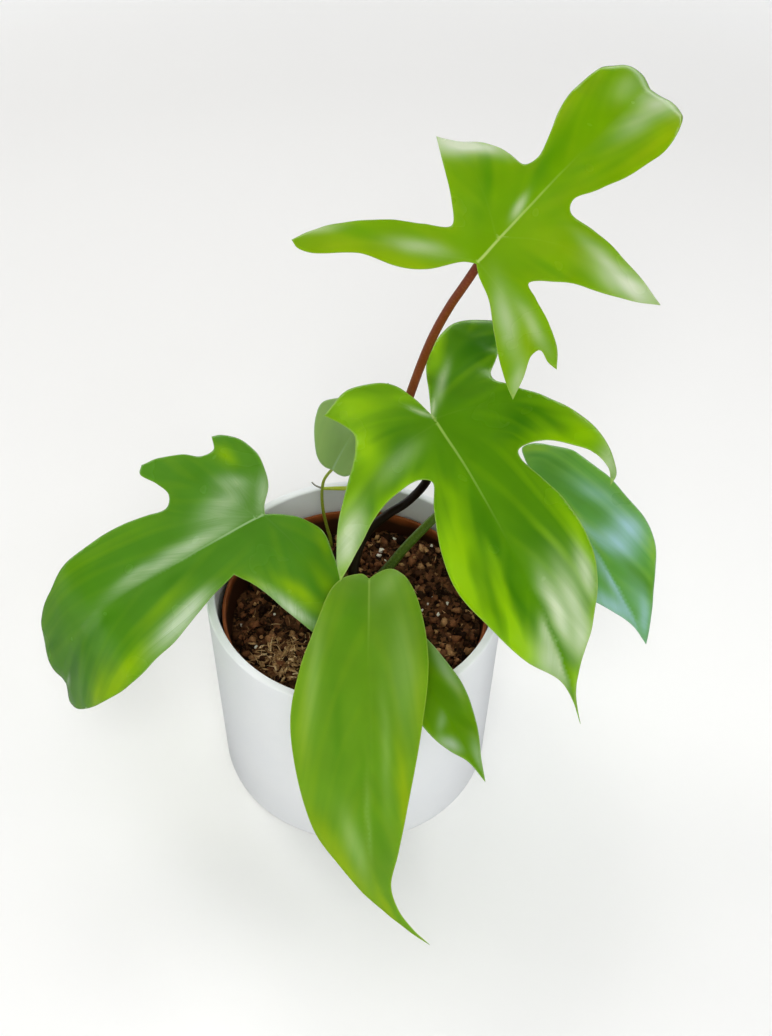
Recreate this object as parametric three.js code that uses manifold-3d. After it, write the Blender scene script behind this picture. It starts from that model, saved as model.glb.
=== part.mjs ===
// A potted philodendron with lobed leaves. A white glazed cover pot holds a thin plastic nursery pot
// full of peaty soil. A short crown stands in the soil and carries six stalked leaves, and a thin side
// shoot behind it carries a small young leaf and a new leaf that is still rolled up.
// Millimetres, +Z up. The origin is the middle of the cover pot's flat foot, and the front is -Y.

import * as THREE from 'three';
import { mergeVertices } from 'three/addons/utils/BufferGeometryUtils.js';
import Module from 'manifold-3d';

const wasm = await Module();
wasm.setup();

// Driving dimensions

const GAP = 0.3;                       // clearance between pieces that rest against each other

const COVER_HEIGHT = 112;
const COVER_RIM_RADIUS = 67.5;
const COVER_FOOT_RADIUS = 65;
const COVER_WALL = 4;
const COVER_FLOOR = 5;
const COVER_EDGE = 1.9;                // rounding of the lip, and of the foot's edge
const POT_SIDES = 56;

const NURSERY_RIM_RADIUS = 61.2;
const NURSERY_RIM_Z = 98;
const NURSERY_SHOULDER_RADIUS = 59.7;  // just under the rim band
const NURSERY_FOOT_RADIUS = 44;
const NURSERY_CHAMFER = 1;             // of the edge of its foot
const NURSERY_WALL = 1.2;
const NURSERY_LIP = 0.8;               // rounding of the rim, half its thickness
const NURSERY_BAND = 9;                // height of the stiffer band round the rim
const DRAIN_HOLES = 6;
const DRAIN_RADIUS = 3.5;
const DRAIN_CIRCLE = 27;

const SOIL_Z = 88.5;
const SOIL_SLOPE = 0.05;               // it lies higher on the right
const SOIL_DISH = 2;                   // and sinks this much at the wall
const CLUMP = { x: -33, y: -22, height: 2.5, spread: 12 };
const CRUMB_HEIGHT = 2.2;
const COARSE_CRUMB = 9;                // sizes of the crumbs
const FINE_CRUMB = 4.3;
const CRUMB_SEED = 7;
const SOIL_RINGS = 18;
const SOIL_SECTORS = 72;

const CROWN = new THREE.Vector3(-2, 8, 104);        // the middle of its top
const CROWN_RADIUS = 7;
const CROWN_DEPTH = 26;                             // how deep it stands in the soil
const CROWN_RINGS = 6;
const CROWN_RING_DEPTH = 0.6;
const CROWN_TOP = 5;                                // height of its rounded top

const SHOOT = new THREE.Vector3(-13.3, 47, 74);     // the foot of the side shoot, in the soil
const SHOOT_RADIUS = 0.85;

const BLADE = 0.8;                     // thickness of a leaf
const RIB = 0.8;                       // how far the midrib stands out of the underside at its base
const RIB_WIDTH = 1.8;
const RIM_STEP = 4.5;                  // spacing of the points along a leaf's edge
const FACE_STEP = 8;                   // and of those inside it
const SMALL_LEAF = 100;                // leaves shorter than this have their inner points closer
const SMALL_LEAF_STEP = 0.8;
const RIPPLE_LENGTH = 40;
const RIPPLE_SHIFT = 2;                // the left half ripples out of step with the right
const RIPPLE_START = 30;               // distance from the midrib at which half the ripple is reached
const HUMP_WIDTH = 20;                 // width of each of the two humps where a leaf bends over

const STALK_SIDES = 10;
const STALK_STEP = 7;                  // length of each of a stalk's short straight pieces
const JOINT_Y = 2;                     // a stalk ends under the midrib, this far in front of the joint

const UP = new THREE.Vector3(0, 0, 1);
const rad = THREE.MathUtils.degToRad;

// Materials

const glaze = new THREE.MeshStandardMaterial({ color: 0xf1f2f1, roughness: 0.25 });
const terracottaPlastic = new THREE.MeshStandardMaterial({ color: 0xa9572f, roughness: 0.6 });
const peat = new THREE.MeshStandardMaterial({ color: 0x3a281c, roughness: 0.95 });
const crownBark = new THREE.MeshStandardMaterial({ color: 0x6b6a34, roughness: 0.7 });
const redStalk = new THREE.MeshStandardMaterial({ color: 0x6e3a26, roughness: 0.5 });
const darkStalk = new THREE.MeshStandardMaterial({ color: 0x2e1c14, roughness: 0.5 });
const greenStalk = new THREE.MeshStandardMaterial({ color: 0x5d7a2a, roughness: 0.5 });
const limeLeaf = new THREE.MeshStandardMaterial({ color: 0x79ad1c, roughness: 0.35 });
const greenLeaf = new THREE.MeshStandardMaterial({ color: 0x4c8a24, roughness: 0.35 });
const deepLeaf = new THREE.MeshStandardMaterial({ color: 0x3c7540, roughness: 0.3 });
const drySheath = new THREE.MeshStandardMaterial({ color: 0x8d8a83, roughness: 0.9 });

// Leaves. Each has axes of its own: x to its right, y towards its tip and z up out of its face, with
// the stalk's joint at the origin. `at` is that joint in the room; `heading` turns the leaf (0 is +X,
// -90 the front), `rise` lifts its tip and `roll` lowers its right side, in degrees. `arch` is how far
// its midrib bends down over its length, `back` the same for the lobes behind the joint, and `bend` a
// sharper turn that starts at `bendFrom` and takes `bendOver` millimetres, `hump` later halfway across
// each half. `fold` lifts both halves from the midrib, and `curl` rolls them down again, right then
// left, in degrees for each 50 mm.
// `outline` goes round the flat leaf, one smooth stroke from each tip or notch to the next.

const topLeaf = {
  at: [45, 5, 288.6], heading: 52, rise: 14, roll: 13, length: 150,
  arch: 10, back: 15, bend: 78, bendFrom: 104.5, bendOver: 30, hump: 5,
  fold: 5, curl: [12, 12], ripple: 1.2,
  outline: [
    [[0, -1], [-4, -4], [-12, -14], [-23, -20], [-37, -23], [-48, -30], [-58, -34], [-63, -32]],
    [[-60, -25], [-49, -14], [-37, -6], [-25, 0], [-17, 6], [-24, 16], [-35, 26], [-47, 37]],
    [[-38, 40], [-30, 46], [-20, 48], [-13, 48], [-11, 53], [-14, 66], [-18, 79], [-20, 92], [-20, 106],
      [-17, 119], [-11, 133], [-5, 143], [0, 150]],
    [[5, 143], [9, 132], [14.5, 118], [21, 104], [23.5, 90], [20.5, 75], [15.5, 58], [11, 46], [14, 39],
      [25, 37], [38, 34], [49, 31], [62, 30]],
    [[56, 25], [42, 18], [29, 11], [20, 4], [26, 0], [36, -5], [43, -10], [48, -17]],
    [[44, -17], [39, -15], [38, -19], [41, -28], [43, -37]],
    [[38, -34], [30, -28], [23, -21], [13, -11], [4, -5], [0, -1]],
  ],
};

const middleLeaf = {
  at: [30.9, 0, 216.6], heading: -62, rise: -6, roll: 8, length: 138,
  arch: 40, back: 22, bend: 10, bendFrom: 100, bendOver: 30, hump: 0, fold: 6, curl: [20, 20], ripple: 1.2,
  outline: [
    [[0, -1], [-4, -10], [-11, -26], [-20, -37], [-32, -46], [-44, -47], [-54, -43]],
    [[-51, -33], [-41, -19], [-32, -9], [-31, -3], [-37, 3], [-46, 11], [-54, 22], [-58, 35], [-58, 47],
      [-55, 55], [-49, 59]],
    [[-51, 51], [-46, 43], [-38, 35], [-29, 30], [-22, 31], [-21, 35], [-25, 46], [-29, 60], [-29, 75],
      [-25, 90], [-15, 105], [-4, 117], [2, 127], [4, 139]],
    [[4, 129], [6, 119], [15, 107], [22, 91], [27, 73], [26, 57], [20, 39], [15, 28], [19, 25], [30, 26],
      [42, 31], [53, 39], [65, 47]],
    [[62, 37], [55, 25], [44, 12], [35, 1], [31, -9], [34, -18], [40, -28]],
    [[33, -29], [24, -32], [14, -29], [6, -22], [2, -12], [0, -1]],
  ],
};

const leftLeaf = {
  at: [-41.5, 14, 142.3], heading: 213, rise: -3, roll: -9, length: 118,
  arch: 16, back: 20, bend: 56, bendFrom: 58, bendOver: 60, hump: 0, fold: 6, curl: [8, 18], ripple: 1,
  outline: [
    [[0, -1], [-4, -7], [-10, -14], [-19, -19], [-30, -18], [-44, -15], [-58, -12], [-67, -8]],
    [[-61, -4], [-62, 0], [-73, 4]],
    [[-60, 10], [-46, 15], [-32, 20], [-21, 26]],
    [[-24, 35], [-29, 48], [-36, 66], [-39, 84], [-35, 102], [-27, 119], [-17, 133], [-9, 138], [-4, 132]],
    [[6, 134], [17, 127], [24, 113], [25, 98], [27, 82], [28, 67], [27, 54], [25, 44], [25, 35], [31, 31],
      [39, 33], [47, 37], [52, 34]],
    [[51, 26], [47, 16], [41, 8], [43, 2], [50, -1]],
    [[50, -6], [44, -13], [33, -17], [21, -15], [12, -10], [4, -3], [0, -1]],
  ],
};

const frontLeaf = {
  at: [6.6, -17.6, 136], heading: -88, rise: 4, roll: 0, length: 160,
  arch: 70, back: 10, bend: 0, bendFrom: 160, bendOver: 1, hump: 0, fold: 14, curl: [22, 22], ripple: 1,
  outline: [
    [[0, -1], [-3, -3], [-10, -5], [-16, 1], [-21, 15], [-24, 36], [-24, 50], [-20, 76], [-16, 96],
      [-11, 120], [-8, 134], [-11, 144], [-17, 152], [-24, 159]],
    [[-14, 152], [0, 141], [13, 125], [23, 111], [30, 90], [33, 67], [30, 49], [23, 26], [16, 7],
      [9, -2], [3, -4], [0, -1]],
  ],
};

const frontRightLeaf = {
  at: [8.4, -26.6, 120], heading: -54, rise: 7, roll: 0, length: 90,
  arch: 50, back: 10, bend: 0, bendFrom: 90, bendOver: 1, hump: 0, fold: 12, curl: [15, 15], ripple: 0.6,
  outline: [
    [[0, -1], [-4, -3], [-9, 4], [-12, 20], [-13, 38], [-13, 50], [-9, 66], [-4, 78], [-1, 88]],
    [[2, 77], [8, 69], [12, 59], [14, 47], [14, 28], [11, 6], [5, -3], [0, -1]],
  ],
};

const backRightLeaf = {
  at: [79.6, 35, 151], heading: -55, rise: -2, roll: 0, length: 96,
  arch: 45, back: 15, bend: 0, bendFrom: 96, bendOver: 1, hump: 0, fold: 10, curl: [12, 12], ripple: 0.8,
  outline: [
    [[0, -1], [-2, -9], [-6, -16], [-14, -13], [-22, -1], [-26, 16], [-28, 36], [-27, 55], [-20, 66],
      [-12, 77], [-5, 87], [-1, 93]],
    [[2, 82], [9, 72], [17, 62], [24, 47], [27, 28], [24, 8], [18, -7], [10, -15], [5, -14], [2, -7],
      [0, -1]],
  ],
};

const youngLeaf = {
  at: [-11.6, 45, 141.5], heading: 52, rise: 45, roll: 0, length: 48,
  arch: 25, back: 10, bend: 0, bendFrom: 48, bendOver: 1, hump: 0, fold: 10, curl: [10, 10], ripple: 0.4,
  outline: [
    [[0, -0.5], [-4, -1], [-9, 1], [-15, 8], [-20, 17], [-21, 24], [-14, 31], [-6, 40], [0, 48]],
    [[9, 40], [16, 30], [17, 18], [14, 7], [8, 0], [3, -1], [0, -0.5]],
  ],
};

// Stalks: where each leaves the crown (turned from +X, and its height), the points that it passes and
// its radius from the crown to the leaf. The last point, under the leaf, follows from the leaf.

const stalks = [
  { name: 'top_leaf', leaf: topLeaf, leaves: limeLeaf, stalk: redStalk, turn: 126, z: 98,
    radii: [2.5, 2.1, 2, 1.8, 1.6, 1.5],
    points: [[-7.2, 16, 106], [-5.2, 20.5, 117], [1.5, 24, 133], [9.5, 26.5, 156], [17.5, 27, 181],
      [22.6, 25, 207], [29.3, 19, 240], [35, 13, 262], [40, 9, 275]] },
  { name: 'middle_leaf', leaf: middleLeaf, leaves: limeLeaf, stalk: darkStalk, turn: 76, z: 93,
    radii: [2.6, 2.2, 2, 2, 1.9, 1.7],
    points: [[-0.9, 20, 105.5], [4.5, 28, 117], [14, 31.5, 126], [22.4, 34.5, 131], [30.5, 34, 144],
      [34, 27, 168], [33.5, 13, 197]] },
  { name: 'left_leaf', leaf: leftLeaf, leaves: greenLeaf, stalk: greenStalk, turn: 178, z: 95,
    radii: [2.6, 2.1, 1.9, 1.7],
    points: [[-17, 10.5, 107], [-29, 12.5, 124]] },
  { name: 'front_leaf', leaf: frontLeaf, leaves: greenLeaf, stalk: greenStalk, turn: 290, z: 98,
    radii: [2.8, 2.1, 1.9, 1.7],
    points: [[2.5, -3.5, 110], [5, -11, 124]] },
  { name: 'front_right_leaf', leaf: frontRightLeaf, leaves: deepLeaf, stalk: greenStalk, turn: 320, z: 94,
    radii: [2.2, 1.6, 1.4, 1.3],
    points: [[8, -3.5, 99], [9, -14, 108.5]] },
  { name: 'back_right_leaf', leaf: backRightLeaf, leaves: deepLeaf, stalk: greenStalk, turn: 20, z: 92.5,
    radii: [2.7, 2.3, 2.1, 1.9, 1.7],
    points: [[14, 20.5, 100], [22, 28, 106.5], [29.4, 33, 113], [38, 38, 120], [56, 41, 134],
      [70, 38, 144]] },
];

// Small helpers

const hash = (i, j) => {
  const s = Math.sin(i * 127.1 + j * 311.7 + CRUMB_SEED * 74.7) * 43758.5453;
  return s - Math.floor(s);
};

// Smooth random heights, from 0 to 1, one drawn for each corner of a unit grid
function crumbs(x, y) {
  const i = Math.floor(x);
  const j = Math.floor(y);
  const u = THREE.MathUtils.smoothstep(x - i, 0, 1);
  const v = THREE.MathUtils.smoothstep(y - j, 0, 1);
  const low = THREE.MathUtils.lerp(hash(i, j), hash(i + 1, j), u);
  const high = THREE.MathUtils.lerp(hash(i, j + 1), hash(i + 1, j + 1), u);
  return THREE.MathUtils.lerp(low, high, v);
}

function indexedGeometry(vertices, faces) {
  const geometry = new THREE.BufferGeometry();
  geometry.setAttribute('position', new THREE.Float32BufferAttribute(vertices, 3));
  geometry.setIndex(faces);
  geometry.computeVertexNormals();
  return geometry;
}

function solid(geometry) {
  const bare = geometry.clone();
  bare.deleteAttribute('normal');
  bare.deleteAttribute('uv');
  const merged = mergeVertices(bare, 1e-4);
  return new wasm.Manifold(new wasm.Mesh({
    numProp: 3,
    vertProperties: new Float32Array(merged.attributes.position.array),
    triVerts: new Uint32Array(merged.index.array),
  }));
}

function cut(geometry, cutters) {
  const left = cutters.reduce((body, cutter) => body.subtract(solid(cutter)), solid(geometry));
  const mesh = left.getMesh();
  return indexedGeometry(Array.from(mesh.vertProperties), Array.from(mesh.triVerts));
}

// An upright cylinder between two heights
function post(x, y, low, high, radius, sides = 24) {
  return new THREE.CylinderGeometry(radius, radius, high - low, sides)
    .rotateX(Math.PI / 2)
    .translate(x, y, (low + high) / 2);
}

// A quarter round of a profile, from one angle to another, in degrees
function round(x, y, radius, from, to, steps = 4) {
  const angles = Array.from({ length: steps + 1 }, (_, i) => rad(from + (to - from) * i / steps));
  return angles.map((a) => new THREE.Vector2(x + radius * Math.cos(a), y + radius * Math.sin(a)));
}

// A turned piece from its profile, which starts and ends on the axis, with its axis along +Z
const turned = (profile, sides) => new THREE.LatheGeometry(profile, sides).rotateX(Math.PI / 2);

// The pots

function coverPot() {
  const slope = (COVER_RIM_RADIUS - COVER_FOOT_RADIUS) / COVER_HEIGHT;
  const inside = COVER_FOOT_RADIUS - COVER_WALL + slope * COVER_FLOOR;
  const corner = 6;
  const lip = COVER_WALL / 2;
  return turned([
    new THREE.Vector2(0, 0),
    ...round(COVER_FOOT_RADIUS - COVER_EDGE, COVER_EDGE, COVER_EDGE, -90, 0, 3),
    ...round(COVER_RIM_RADIUS - lip, COVER_HEIGHT - lip, lip, 0, 180, 6),
    ...round(inside - corner, COVER_FLOOR + corner, corner, 0, -90, 3),
    new THREE.Vector2(0, COVER_FLOOR),
  ], POT_SIDES);
}

const nurseryFloor = COVER_FLOOR + GAP;
const nurseryShoulder = NURSERY_RIM_Z - NURSERY_BAND;

// The nursery pot's outer radius below its rim band
function nurseryRadius(z) {
  const t = (z - nurseryFloor) / (nurseryShoulder - nurseryFloor);
  return THREE.MathUtils.lerp(NURSERY_FOOT_RADIUS, NURSERY_SHOULDER_RADIUS, t);
}

function nurseryPot() {
  const body = turned([
    new THREE.Vector2(0, nurseryFloor),
    new THREE.Vector2(NURSERY_FOOT_RADIUS - NURSERY_CHAMFER, nurseryFloor),
    new THREE.Vector2(NURSERY_FOOT_RADIUS, nurseryFloor + NURSERY_CHAMFER),
    new THREE.Vector2(NURSERY_SHOULDER_RADIUS, nurseryShoulder),
    new THREE.Vector2(NURSERY_RIM_RADIUS - 0.5, nurseryShoulder + 0.5),
    ...round(NURSERY_RIM_RADIUS - NURSERY_LIP, NURSERY_RIM_Z - NURSERY_LIP, NURSERY_LIP, 0, 180, 4),
    new THREE.Vector2(NURSERY_SHOULDER_RADIUS - NURSERY_WALL, nurseryShoulder),
    new THREE.Vector2(NURSERY_FOOT_RADIUS - NURSERY_WALL, nurseryFloor + NURSERY_WALL),
    new THREE.Vector2(0, nurseryFloor + NURSERY_WALL),
  ], POT_SIDES);
  const holes = Array.from({ length: DRAIN_HOLES }, (_, i) => {
    const a = 2 * Math.PI * i / DRAIN_HOLES;
    return post(DRAIN_CIRCLE * Math.cos(a), DRAIN_CIRCLE * Math.sin(a),
      nurseryFloor - 1, nurseryFloor + NURSERY_WALL + 1, DRAIN_RADIUS, 12);
  });
  return cut(body, holes);
}

// The soil: crumbs on top, with a loose clump at the front left, sinking towards the wall

function soilHeight(x, y) {
  const edge = Math.hypot(x, y) / nurseryRadius(SOIL_Z);
  const off = Math.hypot(x - CLUMP.x, y - CLUMP.y) / CLUMP.spread;
  const coarse = crumbs(x / COARSE_CRUMB, y / COARSE_CRUMB) - 0.5;
  const fine = crumbs(x / FINE_CRUMB + 40, y / FINE_CRUMB) - 0.5;
  return SOIL_Z + SOIL_SLOPE * x - SOIL_DISH * edge ** 4
    + CLUMP.height * Math.exp(-(off ** 2) / 2) + CRUMB_HEIGHT * (coarse + 0.6 * fine);
}

function soil() {
  const bottom = nurseryFloor + NURSERY_WALL + GAP;
  const sag = 0.25;                    // the pot's flat sides lie this much inside its round shape
  const wall = (z) => nurseryRadius(z) - NURSERY_WALL - GAP - sag;
  const vertices = [0, 0, soilHeight(0, 0)];
  const faces = [];
  const corner = (ring, s) => 1 + ring * SOIL_SECTORS + (s % SOIL_SECTORS);
  const levels = [SOIL_Z - 10, bottom];
  const reach = (a) => {
    const edge = soilHeight(wall(SOIL_Z) * Math.cos(a), wall(SOIL_Z) * Math.sin(a));
    return wall(Math.min(edge, nurseryShoulder));
  };
  for (let ring = 0; ring < SOIL_RINGS + levels.length; ring += 1) {
    for (let s = 0; s < SOIL_SECTORS; s += 1) {
      const a = 2 * Math.PI * s / SOIL_SECTORS;
      const under = levels[ring - SOIL_RINGS];
      const radius = under ? wall(under) : reach(a) * (ring + 1) / SOIL_RINGS;
      const x = radius * Math.cos(a);
      const y = radius * Math.sin(a);
      vertices.push(x, y, under ?? soilHeight(x, y));
      if (ring === 0) {
        faces.push(0, corner(0, s), corner(0, s + 1));
      } else {
        faces.push(corner(ring - 1, s), corner(ring, s), corner(ring, s + 1));
        faces.push(corner(ring - 1, s), corner(ring, s + 1), corner(ring - 1, s + 1));
      }
    }
  }
  const last = vertices.length / 3;
  const lastRing = SOIL_RINGS + levels.length - 1;
  vertices.push(0, 0, bottom);
  for (let s = 0; s < SOIL_SECTORS; s += 1) faces.push(last, corner(lastRing, s + 1), corner(lastRing, s));
  const above = SOIL_Z + 20;
  return cut(indexedGeometry(vertices, faces), [
    post(CROWN.x, CROWN.y, SOIL_Z - CROWN_DEPTH - GAP, above, CROWN_RADIUS + GAP),
    post(SHOOT.x, SHOOT.y, SHOOT.z - SHOOT_RADIUS - GAP, above, SHOOT_RADIUS + GAP, 12),
  ]);
}

// The crown: a short thick stem, ringed where old leaves fell

function crown() {
  const length = CROWN.z - SOIL_Z + CROWN_DEPTH;
  const shoulder = length - CROWN_TOP;
  const half = shoulder / (CROWN_RINGS * 2);
  const waist = CROWN_RADIUS - CROWN_RING_DEPTH;
  const profile = [new THREE.Vector2(0, 0), new THREE.Vector2(waist, 0)];
  for (let i = 1; i < CROWN_RINGS * 2; i += 1) {
    profile.push(new THREE.Vector2(i % 2 ? CROWN_RADIUS : waist, half * i));
  }
  const flatten = waist / CROWN_TOP;
  const top = round(0, shoulder, CROWN_TOP, 0, 90);
  profile.push(...top.map((p) => new THREE.Vector2(p.x * flatten, p.y)));
  return turned(profile, 20).translate(CROWN.x, CROWN.y, CROWN.z - length);
}

// The surface of a leaf

// How far along and up a lengthwise line of the leaf has got, and how far it has turned down, at y
function lengthwise(leaf, x, y) {
  const from = leaf.bendFrom + leaf.hump * Math.sin(Math.PI * Math.abs(x) / HUMP_WIDTH);
  const turn = (s) => {
    if (s < 0) return rad(leaf.back) * s / leaf.length;
    return rad(leaf.arch) * s / leaf.length
      + rad(leaf.bend) * THREE.MathUtils.smoothstep(s, from, from + leaf.bendOver);
  };
  const steps = Math.max(1, Math.round(Math.abs(y)));
  const step = y / steps;
  let along = 0;
  let up = 0;
  for (let i = 0; i < steps; i += 1) {
    along += Math.cos(turn((i + 0.5) * step)) * step;
    up -= Math.sin(turn((i + 0.5) * step)) * step;
  }
  return { turn: turn(y), along, up };
}

// The place of a point of the flat leaf once the leaf is arched, folded, curled and rippled
function surfacePoint(leaf, x, y) {
  const { turn, along, up } = lengthwise(leaf, x, y);
  const side = Math.abs(x);
  const fold = rad(leaf.fold) * Math.exp(Math.min(y, 0) / 20);
  const curl = rad(leaf.curl[x >= 0 ? 0 : 1]) / 50;
  const across = Math.sign(x) * (Math.sin(fold) - Math.sin(fold - curl * side)) / curl;
  const sway = side ** 2 / (side ** 2 + RIPPLE_START ** 2);
  const wave = Math.sin(2 * Math.PI * y / RIPPLE_LENGTH + (x < 0 ? RIPPLE_SHIFT : 0));
  const height = (Math.cos(fold - curl * side) - Math.cos(fold)) / curl + leaf.ripple * sway * wave;
  return new THREE.Vector3(across, along + height * Math.sin(turn), up + height * Math.cos(turn));
}

function surfaceNormal(leaf, x, y) {
  const right = surfacePoint(leaf, x + 0.5, y).sub(surfacePoint(leaf, x - 0.5, y));
  const forward = surfacePoint(leaf, x, y + 0.5).sub(surfacePoint(leaf, x, y - 0.5));
  return right.cross(forward).normalize();
}

// The midrib stands out under the leaf, less and less towards the tip
function ribDepth(leaf, x, y) {
  return RIB * Math.exp(-((x / RIB_WIDTH) ** 2)) * Math.max(0.15, 1 - y / leaf.length);
}

// The outline's points, counter-clockwise, evenly spaced along each stroke
function outlinePoints(leaf) {
  const rim = [];
  leaf.outline.forEach((stroke, i) => {
    const start = i ? leaf.outline[i - 1].at(-1) : null;
    const through = (start ? [start, ...stroke] : stroke).map(([x, y]) => new THREE.Vector3(x, y, 0));
    const curve = new THREE.CatmullRomCurve3(through, false, 'centripetal');
    const count = Math.ceil(curve.getLength() / RIM_STEP);
    rim.push(...curve.getSpacedPoints(count).slice(0, -1));
  });
  const points = rim.map((p) => new THREE.Vector2(p.x, p.y));
  return THREE.ShapeUtils.isClockWise(points) ? points.reverse() : points;
}

function isInside(rim, x, y) {
  let inside = false;
  rim.forEach((a, i) => {
    const b = rim[(i + 1) % rim.length];
    if (a.y > y !== b.y > y && x < a.x + (b.x - a.x) * (y - a.y) / (b.y - a.y)) inside = !inside;
  });
  return inside;
}

// Points inside a leaf: a row down its midrib, then rows of a triangular lattice clear of rim and midrib
function innerPoints(rim, step) {
  const inner = [];
  const rowHeight = step * Math.sqrt(3) / 2;
  const margin = step * 0.45;
  const off = 0.01;                    // keeps points off the exact lines between others
  const low = Math.min(...rim.map((p) => p.y));
  const high = Math.max(...rim.map((p) => p.y));
  const wide = Math.max(...rim.map((p) => Math.abs(p.x)));
  const clear = (x, y) => isInside(rim, x, y)
    && rim.every((p) => Math.hypot(p.x - x, p.y - y) > margin);
  for (let y = 0.7 * step; y < high; y += 0.8 * step) {
    if (clear(off, y)) inner.push(new THREE.Vector2(off, y));
  }
  for (let row = 0; low + row * rowHeight < high; row += 1) {
    const y = low + row * rowHeight + off;
    for (let x = -wide + (row % 2) * step / 2 + off; x < wide; x += step) {
      if (clear(x, y) && (Math.abs(x) > margin || y < 0)) inner.push(new THREE.Vector2(x, y));
    }
  }
  return inner;
}

// Triangles that fill an outline and use every inner point. The outline alone is filled first, the
// points are put in one by one, and edges are swapped while that makes their triangles fatter.
function fillOutline(rim, inner) {
  const points = [...rim, ...inner];
  const across = new Map();
  const key = (a, b) => a * points.length + b;
  const area = (a, b, c) => (points[b].x - points[a].x) * (points[c].y - points[a].y)
    - (points[b].y - points[a].y) * (points[c].x - points[a].x);
  const edges = ([a, b, c]) => [[a, b, c], [b, c, a], [c, a, b]];
  const add = (face) => edges(face).forEach(([a, b, c]) => across.set(key(a, b), c));
  const drop = (face) => edges(face).forEach(([a, b]) => across.delete(key(a, b)));
  const inCircle = (a, b, c, d) => {
    const [p, q, r] = [a, b, c].map((i) => points[i].clone().sub(points[d]));
    return p.lengthSq() * q.cross(r) - q.lengthSq() * p.cross(r) + r.lengthSq() * p.cross(q) > 1e-7;
  };
  const relax = (a, b) => {
    const c = across.get(key(a, b));
    const d = across.get(key(b, a));
    if (c === undefined || d === undefined || !inCircle(a, b, c, d)) return;
    if (area(a, d, c) < 1e-6 || area(d, b, c) < 1e-6) return;
    drop([a, b, c]);
    drop([b, a, d]);
    add([a, d, c]);
    add([d, b, c]);
    [[a, d], [d, b], [b, c], [c, a]].forEach(([u, v]) => relax(u, v));
  };
  const ends = (k) => [Math.floor(k / points.length), k % points.length];
  const first = THREE.ShapeUtils.triangulateShape(rim, []);
  first.forEach(([a, b, c]) => add(area(a, b, c) > 0 ? [a, b, c] : [a, c, b]));
  [...across.keys()].forEach((k) => relax(...ends(k)));
  inner.forEach((_, i) => {
    const p = rim.length + i;
    const holds = ([k, c]) => {
      const [a, b] = ends(k);
      return area(a, b, p) > 0 && area(b, c, p) > 0 && area(c, a, p) > 0;
    };
    const found = [...across].find(holds);
    if (!found) return;
    const face = [...ends(found[0]), found[1]];
    drop(face);
    edges(face).forEach(([u, v]) => add([u, v, p]));
    edges(face).forEach(([u, v]) => relax(u, v));
  });
  const faces = [];
  across.forEach((c, k) => {
    const [a, b] = ends(k);
    if (a < b && a < c) faces.push([a, b, c]);
  });
  return { points, faces };
}

function bladeGeometry(leaf) {
  const step = leaf.length < SMALL_LEAF ? FACE_STEP * SMALL_LEAF_STEP : FACE_STEP;
  const rim = outlinePoints(leaf);
  const { points, faces } = fillOutline(rim, innerPoints(rim, step));
  const top = [];
  const bottom = [];
  points.forEach(({ x, y }) => {
    const middle = surfacePoint(leaf, x, y);
    const normal = surfaceNormal(leaf, x, y);
    top.push(...middle.clone().addScaledVector(normal, BLADE / 2));
    bottom.push(...middle.addScaledVector(normal, -BLADE / 2 - ribDepth(leaf, x, y)));
  });
  const under = points.length;
  const index = faces.flatMap(([a, b, c]) => [a, b, c, under + c, under + b, under + a]);
  rim.forEach((_, a) => {
    const b = (a + 1) % rim.length;
    index.push(a, under + a, under + b, a, under + b, b);
  });
  return indexedGeometry([...top, ...bottom], index);
}

// Turns a leaf's own axes into the room's
function place(object, leaf) {
  object.position.set(...leaf.at);
  object.rotation.set(rad(leaf.rise), rad(leaf.roll), rad(leaf.heading - 90), 'ZXY');
  object.updateMatrixWorld();
  return object;
}

// Stalks

// A round body along a curve, with a rounded end at both ends
function stalkGeometry(points, radii, sides, step) {
  const curve = new THREE.CatmullRomCurve3(points, false, 'centripetal');
  const count = Math.max(4, Math.ceil(curve.getLength() / step));
  const frames = curve.computeFrenetFrames(count, false);
  const widths = new THREE.CatmullRomCurve3(radii.map((r, i) => new THREE.Vector3(i, r, 0)));
  const first = radii[0];
  const last = radii.at(-1);
  const rings = [{ i: 0, ahead: -first * Math.sin(rad(50)), radius: first * Math.cos(rad(50)) }];
  for (let i = 0; i <= count; i += 1) rings.push({ i, ahead: 0, radius: widths.getPoint(i / count).y });
  [30, 60].forEach((angle) => {
    rings.push({ i: count, ahead: last * Math.sin(rad(angle)), radius: last * Math.cos(rad(angle)) });
  });
  const vertices = [];
  rings.forEach(({ i, ahead, radius }) => {
    const middle = curve.getPointAt(i / count).addScaledVector(frames.tangents[i], ahead);
    for (let s = 0; s < sides; s += 1) {
      const a = 2 * Math.PI * s / sides;
      vertices.push(...middle.clone()
        .addScaledVector(frames.normals[i], radius * Math.cos(a))
        .addScaledVector(frames.binormals[i], radius * Math.sin(a)));
    }
  });
  const foot = vertices.length / 3;
  vertices.push(...curve.getPointAt(0).addScaledVector(frames.tangents[0], -first));
  vertices.push(...curve.getPointAt(1).addScaledVector(frames.tangents[count], last));
  const faces = [];
  const top = (rings.length - 1) * sides;
  for (let s = 0; s < sides; s += 1) {
    const t = (s + 1) % sides;
    for (let r = 0; r < top; r += sides) {
      faces.push(r + s, r + t, r + sides + t, r + s, r + sides + t, r + sides + s);
    }
    faces.push(foot, t, s, foot + 1, top + s, top + t);
  }
  return indexedGeometry(vertices, faces);
}

// The middle of a stalk's rounded end, which lies just under the leaf's midrib
function jointUnder(leaf, radius) {
  const depth = BLADE / 2 + RIB + GAP + radius;
  const local = surfacePoint(leaf, 0, JOINT_Y).addScaledVector(surfaceNormal(leaf, 0, JOINT_Y), -depth);
  return place(new THREE.Object3D(), leaf).localToWorld(local);
}

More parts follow.
